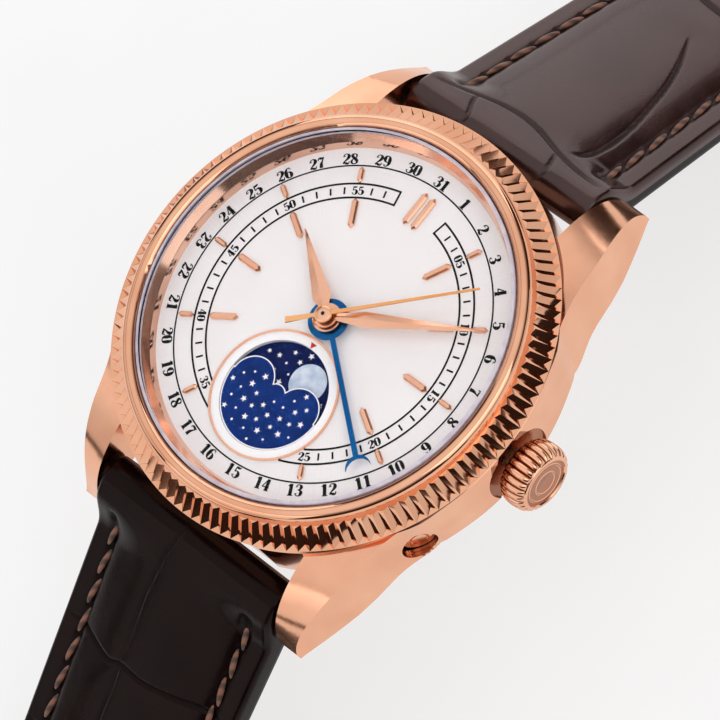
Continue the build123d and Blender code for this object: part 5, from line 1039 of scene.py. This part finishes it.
# the strap's padded halves slope down from the lugs and run out flat on the table
strapPlan = {
    "barY": 21.2, "barZ": 3.2, "slope": 30.0, "bend": 45.0, "below": 2.05,
    "rootWidth": 21.4, "endWidth": 18.0, "taper": 55.0, "tip": 12, "tipCurve": (2.3, 0.62),
    "rootCrown": 2.2, "endCrown": 0.75, "swell": (2.1, 0.85),
    "rootEdge": 0.45, "endEdge": 0.15, "thinning": 45.0, "margin": 2.6, "round": 0.55,
    "rollFull": 0.9, "rollEnd": 4.6,  # the roll round the spring bar is whole to here and gone by there
    # creases: how much of its depth one keeps at its ends, how soon it fades, where the leather's edge stops it, and
    # the depth in mm of a crease or the stitch groove at which its painted shade is full
    "creaseKeep": 0.25, "creaseFade": 0.16, "creaseEdge": 1.5, "shadeFullDepth": 0.3,
    "pillow": 0.16, "pillowReach": 2.2, "pillowSink": 0.1,  # each scale swells between its creases
    # the rows' and columns' creases: depth and width, how far they sway, and where the columns run
    "rowCrease": (0.3, 0.24), "columnCrease": (0.22, 0.2), "sway": 0.5, "rowPoints": 7, "rowPitch": 3.5,
    "columns": ((-1.6, ), (-3.4, 2.4), (-2.6, 3.3)),
    # the grid: spacing near and far along it, points across its top, side and bottom, and its rounded ends
    "rowStep": 0.17, "farStep": 0.34, "nearReach": 30.0, "gather": 1.2, "topPoints": 121, "sidePoints": 4,
    "bottomPoints": 21, "crowding": 0.3, "footRound": 0.25, "footFrom": 0.97, "tipRound": 0.8, "tipHeight": -1,
    # stitches, the groove they lie in and the pits at their ends
    "stitchInset": 2.4, "stitchPitch": 2.95, "stitchStart": 2.6, "stitchSize": (0.6, 0.46, 2.85),
    "stitchDive": 0.15, "stitchSeat": 0.24, "stitchLean": 9, "stitchStop": 12.5, "rollStop": 6.5,
    "groove": 0.42, "grooveDepth": 0.2, "grooveOver": 0.6, "pitDepth": 0.14, "pitLength": 0.1,
}
upperHalf = {
    "name": "strapUpper", "body": "strap_12", "node": "strap_12_half", "fill": 0.8,
    "side": 1, "straight": 24.04, "length": 75.0, "endRoll": 1.35,
    # creases as (along, across) points with their depth and width in mm
    "creases": [
        ([(2.5, 5.0), (3.4, 5.6), (6, 5.95), (9, 5.75), (12, 5.15), (15, 4.4), (18, 3.2), (21, 1.6)], 0.34, 0.13),
        ([(0.6, -10.4), (1.6, -7.2), (2.4, -4.5), (2.7, -1.5), (2.4, 1.2), (1.5, 4.4), (1.0, 7.4), (0.9, 10.4)],
         0.32, 0.17),
        ([(-2.0, -5.0), (-0.6, -4.6), (0.8, -5.3), (2.0, -5.8)], 0.2, 0.14),
        ([(-2.0, 4.2), (-0.5, 4.8), (1.2, 4.2)], 0.2, 0.14),
    ],
    "rows": (26.0, 36.5, 46.0, 55.0, 63.5),
}
lowerHalf = {
    "name": "strapLower", "body": "strap_6", "node": "strap_6_half", "fill": 0.7,
    "side": -1, "straight": 26.24, "length": 115.0, "endRoll": 0.0,
    "creases": [
        ([(-1.6, -0.7), (0.0, -1.0), (2.2, -1.55), (6.0, -2.0), (8.7, -1.95), (13.3, -1.9)], 0.2, 0.11),
        ([(13.1, -10.3), (13.1, -7.0), (13.8, -3.4), (13.3, -1.8), (13.4, 0.9), (12.8, 4.6), (12.3, 7.0),
          (12.4, 10.2)], 0.28, 0.14),
        ([(13.4, -1.8), (16, -1.7), (19, -1.75), (23.6, -1.2)], 0.2, 0.11),
    ],
    "rows": (24.0, 34.0, 43.5, 52.5, 61.0, 69.5, 78.0, 86.5, 95.0, 103.5),
}
# the tongue's slot in the upper half and the row of holes in the lower one, in the watch's frame
slotPunch = {"place": (0, 91.9, -15.2), "size": (2.7, 5.0, 6)}
holePunch = {"count": 7, "first": -105.62, "pitch": 6.5, "radius": 0.95, "height": -16, "depth": 8}


def strapPoint(half, along, across, lift):
    # points on the strap, in metres, from mm along it, across it and above its middle line
    p = strapPlan
    slope, bend, straight = radians(p["slope"]), p["bend"], half["straight"]
    turn = np.clip(slope - (along - straight) / bend, 0, slope)
    first, over = np.minimum(along, straight), np.maximum(along - straight - bend * slope, 0)
    y = p["barY"] + first * cos(slope) + bend * (sin(slope) - np.sin(turn)) + over
    z = p["barZ"] - first * sin(slope) - bend * (np.cos(turn) - cos(slope))
    y, z = y + lift * np.sin(turn), z + lift * np.cos(turn)
    return np.stack([across, half["side"] * y, z], -1) * mm


def strapWidth(half, along):
    p = strapPlan
    width = p["rootWidth"] + (p["endWidth"] - p["rootWidth"]) * np.clip(along / p["taper"], 0, 1)
    if not half["endRoll"]:  # the pointed tip
        tip = np.clip((along - (half["length"] - p["tip"])) / p["tip"], 0, 1)
        width = width * np.clip(1 - tip ** p["tipCurve"][0], 0, 1) ** p["tipCurve"][1]
    return width / 2


def strapHeights(along):
    p = strapPlan
    thin = np.clip(along / p["thinning"], 0, 1)
    crown = p["rootCrown"] + (p["endCrown"] - p["rootCrown"]) * thin
    return crown, p["rootEdge"] + (p["endEdge"] - p["rootEdge"]) * thin


def lineDistance(along, across, line):
    # how far each point lies from a crease, and how far along the crease its nearest spot is, 0 to 1
    best = np.full(along.shape, 1e9)
    where = np.zeros(along.shape)
    for k, ((s0, x0), (s1, x1)) in enumerate(zip(line, line[1:])):
        ds, dx = s1 - s0, x1 - x0
        t = np.clip(((along - s0) * ds + (across - x0) * dx) / (ds * ds + dx * dx + 1e-12), 0, 1)
        away = np.hypot(along - s0 - t * ds, across - x0 - t * dx)
        where = np.where(away < best, (k + t) / (len(line) - 1), where)
        best = np.minimum(best, away)
    return best, where


def scaleLines(half):
    # beyond the first creases come rows of scales that get smaller towards the end
    p = strapPlan
    lines = list(half["creases"])
    rows = half["rows"]
    for i, row in enumerate(rows):
        places = [(k - (p["rowPoints"] - 1) / 2) * p["rowPitch"] for k in range(p["rowPoints"])]
        points = [(row + p["sway"] * sin(i * 2.1 + k * 1.3), place) for k, place in enumerate(places)]
        lines.append((points, *p["rowCrease"]))
        following = rows[i + 1] if i + 1 < len(rows) else half["length"]
        for column in p["columns"][0 if i < 2 else 2 - i % 2]:
            lean = p["sway"] * sin(i * 1.7 + column)
            points = [(row, column), ((row + following) / 2, column + lean), (following, column + lean * 0.4)]
            lines.append((points, *p["columnCrease"]))
    return [(smoothLine(points), depth, width) for points, depth, width in lines]


def stitchPlaces(half):
    p = strapPlan
    last = half["length"] - (p["rollStop"] if half["endRoll"] else p["stitchStop"])
    count = int((last - p["stitchStart"]) / p["stitchPitch"])
    return [(p["stitchStart"] + (i + 0.5) * p["stitchPitch"], side) for i in range(count) for side in (-1, 1)]


def topLift(half, along, across):
    # height of the upper face, and how much painted shade each point gets from the creases and the stitch groove, 0
    # to 1
    p = strapPlan
    width = strapWidth(half, along)
    crown, edge = strapHeights(along)
    inner = np.maximum(width - p["margin"], 0.01)
    swell = np.clip(1 - (np.abs(across) / inner) ** p["swell"][0], 0, 1) ** p["swell"][1]
    lift = edge + (crown - edge) * swell
    rolled = np.clip((p["rollEnd"] - along) / (p["rollEnd"] - p["rollFull"]), 0, 1)
    rolled = rolled ** 2 * (3 - 2 * rolled)
    lift = lift + (crown - lift) * rolled
    over = np.clip((np.abs(across) - (width - p["round"])) / p["round"], 0, 1)
    lift = lift - p["round"] * (1 - np.sqrt(1 - over ** 2))
    depth = np.zeros_like(lift)
    nearest = np.full(lift.shape, 1e9)
    for line, deep, wide in half["lines"]:
        away, where = lineDistance(along, across, line)
        fade = np.clip(np.minimum(where, 1 - where) / p["creaseFade"], 0, 1)
        nearest = np.minimum(nearest, away)
        kept = p["creaseKeep"] + (1 - p["creaseKeep"]) * fade
        depth = np.maximum(depth, deep * np.exp(-(away / wide) ** 2) * kept)
    inside = np.clip((width - np.abs(across)) / p["creaseEdge"], 0, 1)
    pillow = p["pillow"] * (1 - np.exp(-nearest / p["pillowReach"])) - p["pillowSink"]
    lift = lift + (pillow - depth) * inside
    row = np.abs(across) - (width - p["stitchInset"])
    phase = ((along - p["stitchStart"]) / p["stitchPitch"]) % 1 - 0.5
    pit = p["pitDepth"] * np.exp(-((np.abs(phase) - 0.5) / p["pitLength"]) ** 2)
    sewn = (along > p["stitchStart"] - p["grooveOver"]) & (along < half["stitchEnd"] + p["grooveOver"])
    groove = np.exp(-(row / p["groove"]) ** 2) * (p["grooveDepth"] + pit) * sewn
    return lift - groove, np.clip(depth / p["shadeFullDepth"] + groove / p["shadeFullDepth"], 0, 1) * inside


def strapRows(half):
    # places along the strap, closer together near the watch and gathered at the round ends
    p = strapPlan
    start, end = -p["below"], half["length"] + half["endRoll"]
    near = np.arange(start, p["nearReach"], p["rowStep"])
    far = np.linspace(p["nearReach"], end, int((end - p["nearReach"]) / p["farStep"]))
    along = np.concatenate([near, far])
    for a, b in ((start, start + p["gather"]), (end - p["gather"], end)):
        chosen = (along >= a) & (along <= b)
        q = (along[chosen] - a) / (b - a)
        along[chosen] = a + (b - a) * (q ** 2 if a == start else 1 - (1 - q) ** 2)
    return along


def strapSection(half, along):
    # round the section: top from left to right, right side, bottom back, left side
    p = strapPlan
    nTop, nSide, nBottom = p["topPoints"], p["sidePoints"], p["bottomPoints"]
    count = nTop + nSide + nBottom + nSide
    spread = np.linspace(-1, 1, nTop)
    top = np.sin(spread * pi / 2) * p["crowding"] + spread * (1 - p["crowding"])  # closer together at the edges
    bottom = np.linspace(1, -1, nBottom)
    s = along[:, None] * np.ones(count)[None, :]
    width = strapWidth(half, s)
    across, lift, depth = np.zeros_like(s), np.zeros_like(s), np.zeros_like(s)
    across[:, :nTop] = width[:, :nTop] * top
    lift[:, :nTop], depth[:, :nTop] = topLift(half, s[:, :nTop], across[:, :nTop])
    for k in range(nSide):
        share = (k + 1) / (nSide + 1)
        for column, sign, corner in ((nTop + k, 1, nTop - 1), (count - 1 - k, -1, 0)):
            across[:, column] = sign * width[:, 0]
            lift[:, column] = lift[:, corner] * (1 - share) + (-p["below"] + p["footRound"]) * share
    low = slice(nTop + nSide, nTop + nSide + nBottom)
    across[:, low] = width[:, low] * bottom
    foot = np.clip((np.abs(bottom) - p["footFrom"]) / (1 - p["footFrom"]), 0, 1)
    lift[:, low] = -p["below"] + p["footRound"] * foot ** 2
    # the root rolls round the spring bar and the far end round the buckle bar or to a thin tip
    lift = lift * np.sqrt(np.clip(1 - (np.minimum(s, 0) / p["below"]) ** 2, 0, 1))
    if half["endRoll"]:
        r = half["endRoll"]
        past = np.clip((s - half["length"]) / r, 0, 1)
        lift = (lift + p["below"] - r) * np.sqrt(1 - past ** 2) - p["below"] + r
    else:
        past = np.clip((s - half["length"] + p["tipRound"]) / p["tipRound"], 0, 1)
        lift = (lift - p["tipHeight"]) * np.sqrt(1 - past ** 2) + p["tipHeight"]
    return s, across, lift, depth


def strapKinds():
    # which finish each strip of faces has: leather, painted edge along the foot of the sides, lining below
    p = strapPlan
    bottomFrom = p["topPoints"] + p["sidePoints"]
    bottomTo = bottomFrom + p["bottomPoints"]
    kinds = np.zeros(bottomTo + p["sidePoints"], int)
    kinds[p["topPoints"] + 1:bottomFrom] = 1
    kinds[bottomTo:-1] = 1
    kinds[bottomFrom:bottomTo - 1] = 2
    return kinds


def makeStrapHalf(half, upper):
    half["lines"] = scaleLines(half)
    half["stitchEnd"] = stitchPlaces(half)[-1][0] + strapPlan["stitchPitch"] / 2
    s, across, lift, depth = strapSection(half, strapRows(half))
    rows, count = s.shape
    nothingPicked()
    bpy.ops.mesh.primitive_grid_add(x_subdivisions=rows - 1, y_subdivisions=count, size=1)
    piece = named(half["name"])
    order = np.array([(v.co.x + 0.5, v.co.y + 0.5) for v in piece.data.vertices])
    i = np.rint(order[:, 0] * (rows - 1)).astype(int)
    j = np.rint(order[:, 1] * count).astype(int) % count
    place = strapPoint(half, s, across, lift)[i, j]
    piece.data.vertices.foreach_set("co", place.astype(np.float32).ravel())
    # the painted shade of the creases and the stitch groove goes to the finish as creaseDepth
    mark = piece.data.attributes.new("creaseDepth", "FLOAT", "POINT")
    mark.data.foreach_set("value", depth[i, j].astype(np.float32))
    strips = []
    for face in piece.data.polygons:  # each face goes by its first column; the last strip closes the ring
        columns = [j[v] for v in face.vertices]
        strips.append(min(columns) if max(columns) - min(columns) < 5 else count - 1)
    piece.data.materials.clear()
    for finish in (upper, edgePaint, lining):
        piece.data.materials.append(finish)
    piece.data.polygons.foreach_set("material_index", strapKinds()[np.array(strips)])
    pick(piece)
    onWhole((bpy.ops.mesh.remove_doubles, {"threshold": weld["made"] * mm}),
            (bpy.ops.mesh.normals_make_consistent, {"inside": False}))
    bpy.ops.object.shade_smooth()
    return piece


def cutOut(piece, cutter):
    # holes and slots are punched through with a boolean
    pick(piece)
    punch = piece.modifiers.new("punch", "BOOLEAN")
    punch.operation, punch.object, punch.solver = "DIFFERENCE", cutter, "EXACT"
    bpy.ops.object.modifier_apply(modifier="punch")
    bpy.data.objects.remove(cutter)


def makeStitches(half):
    p = strapPlan
    length = p["stitchSize"][2]
    nothingPicked()
    bpy.ops.mesh.primitive_uv_sphere_add(segments=8, ring_count=7, radius=0.5 * mm)
    one = named("stitch")
    one.data.transform(Matrix.Diagonal((*p["stitchSize"], 1)))
    one.data.transform(Matrix.Rotation(radians(90), 4, "X"))
    for vertex in one.data.vertices:  # the ends dive into the leather
        vertex.co.z -= p["stitchDive"] * mm * (vertex.co.y / (length * 0.5 * mm)) ** 2
    stitches = []
    for along, side in stitchPlaces(half):
        across = side * (float(strapWidth(half, np.array(along))) - p["stitchInset"])
        lift = float(topLift(half, np.array([along]), np.array([across]))[0][0]) + p["stitchSeat"]
        here, ahead, above = (
            Vector(strapPoint(half, np.array(along + step), np.array(across), np.array(lift + rise)).tolist())
            for step, rise in ((0, 0), (0.5, 0), (0, 0.5)))
        forward, up = (ahead - here).normalized(), (above - here).normalized()
        forward = Matrix.Rotation(radians(p["stitchLean"] * side), 3, up) @ forward
        turn = Matrix((forward.cross(up), forward, up)).transposed().to_4x4()
        stitches.append(duplicate(one, Matrix.Translation(here) @ turn))
    bpy.data.objects.remove(one)
    piece = joined(stitches, half["name"] + "Stitches")
    smoothEdges(piece, 60)
    return piece


def punchSlot():
    place = Vector(slotPunch["place"]) * mm
    nothingPicked()
    bpy.ops.mesh.primitive_cube_add(size=mm)
    slot = named("slotPunch")
    slot.data.transform(Matrix.Translation(place) @ Matrix.Diagonal((*slotPunch["size"], 1)))
    return slot


def punchHoles():
    h = holePunch
    punches = []
    for i in range(h["count"]):
        nothingPicked()
        place = Vector((0, h["first"] + h["pitch"] * i, h["height"])) * mm
        bpy.ops.mesh.primitive_cylinder_add(vertices=24, radius=h["radius"] * mm, depth=h["depth"] * mm,
                                            location=place)
        punches.append(named("holePunch"))
    return joined(punches, "holePunches")


def makeStrap(half, upper, punch):
    piece = makeStrapHalf(half, upper)
    cutOut(piece, punch())
    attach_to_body(piece, half["body"])
    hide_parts(half["node"])
    attach(makeStitches(half), half["body"], "strap_leather", thread)


makeStrap(upperHalf, litUpperLeather, punchSlot)
makeStrap(lowerHalf, shadedLowerLeather, punchHoles)
print("strap made")

keeperPlan = {
    "fixedLoop": {"y": 82.917, "inner": 9.0, "foot": -16.9, "body": "strap_12", "node": "fixed_keeper"},
    "slidingLoop": {"y": 72.917, "inner": 9.6, "foot": -17.05, "body": "sliding_keeper", "node": "sliding_keeper"},
    "wall": 0.95, "width": 5.5, "top": -10.25, "corner": 1.1, "shorter": 0.1, "thinner": 0.03, "ease": 0.28,
    "lineIn": 0.8, "lineWidth": 0.22,  # the pressed line along each rim
}


def makeKeeper(name):
    k, plan = keeperPlan, keeperPlan[name]
    half = plan["inner"] + k["wall"]
    low = plan["foot"] - k["wall"]
    nothingPicked()
    bpy.ops.mesh.primitive_cube_add(size=mm)
    loop = named(name)
    loop.data.transform(Matrix.Translation((0, plan["y"] * mm, (low + k["top"]) / 2 * mm)) @
                        Matrix.Diagonal((2 * half, k["width"] - k["shorter"], k["top"] - low, 1)))
    bpy.ops.object.mode_set(mode="EDIT")
    bpy.ops.mesh.select_mode(type="FACE")
    bpy.ops.mesh.select_all(action="DESELECT")
    bpy.ops.object.mode_set(mode="OBJECT")
    for face in loop.data.polygons:
        face.select = abs(face.normal.y) > 0.9
    bpy.ops.object.mode_set(mode="EDIT")
    bpy.ops.mesh.delete(type="FACE")
    bpy.ops.mesh.select_mode(type="EDGE")
    bpy.ops.mesh.select_all(action="DESELECT")
    bpy.ops.object.mode_set(mode="OBJECT")
    for edge in loop.data.edges:
        a, b = (loop.data.vertices[v].co for v in edge.vertices)
        edge.select = abs(a.y - b.y) > mm
    bpy.ops.object.mode_set(mode="EDIT")
    bpy.ops.mesh.bevel(offset=k["corner"] * mm, segments=5, affect="EDGES")
    bpy.ops.object.mode_set(mode="OBJECT")
    wall = loop.modifiers.new("wall", "SOLIDIFY")
    wall.thickness, wall.offset, wall.use_even_offset = (k["wall"] - k["thinner"]) * mm, -1, True
    bpy.ops.object.modifier_apply(modifier="wall")
    ease = loop.modifiers.new("ease", "BEVEL")
    ease.width, ease.segments, ease.limit_method = k["ease"] * mm, 3, "ANGLE"
    ease.angle_limit = radians(60)
    bpy.ops.object.modifier_apply(modifier="ease")
    onWhole((bpy.ops.mesh.subdivide, {"number_cuts": 3}))
    mark = loop.data.attributes.new("creaseDepth", "FLOAT", "POINT")
    rims = [k["width"] / 2 - abs(vertex.co.y / mm - plan["y"]) for vertex in loop.data.vertices]
    mark.data.foreach_set("value", [np.exp(-((rim - k["lineIn"]) / k["lineWidth"]) ** 2) for rim in rims])
    smoothEdges(loop, 50)
    attach(loop, plan["body"], "strap_leather", shadedLowerLeather, standsFor=[plan["node"]])


for keeperName in ("fixedLoop", "slidingLoop"):
    makeKeeper(keeperName)
print("keepers made")
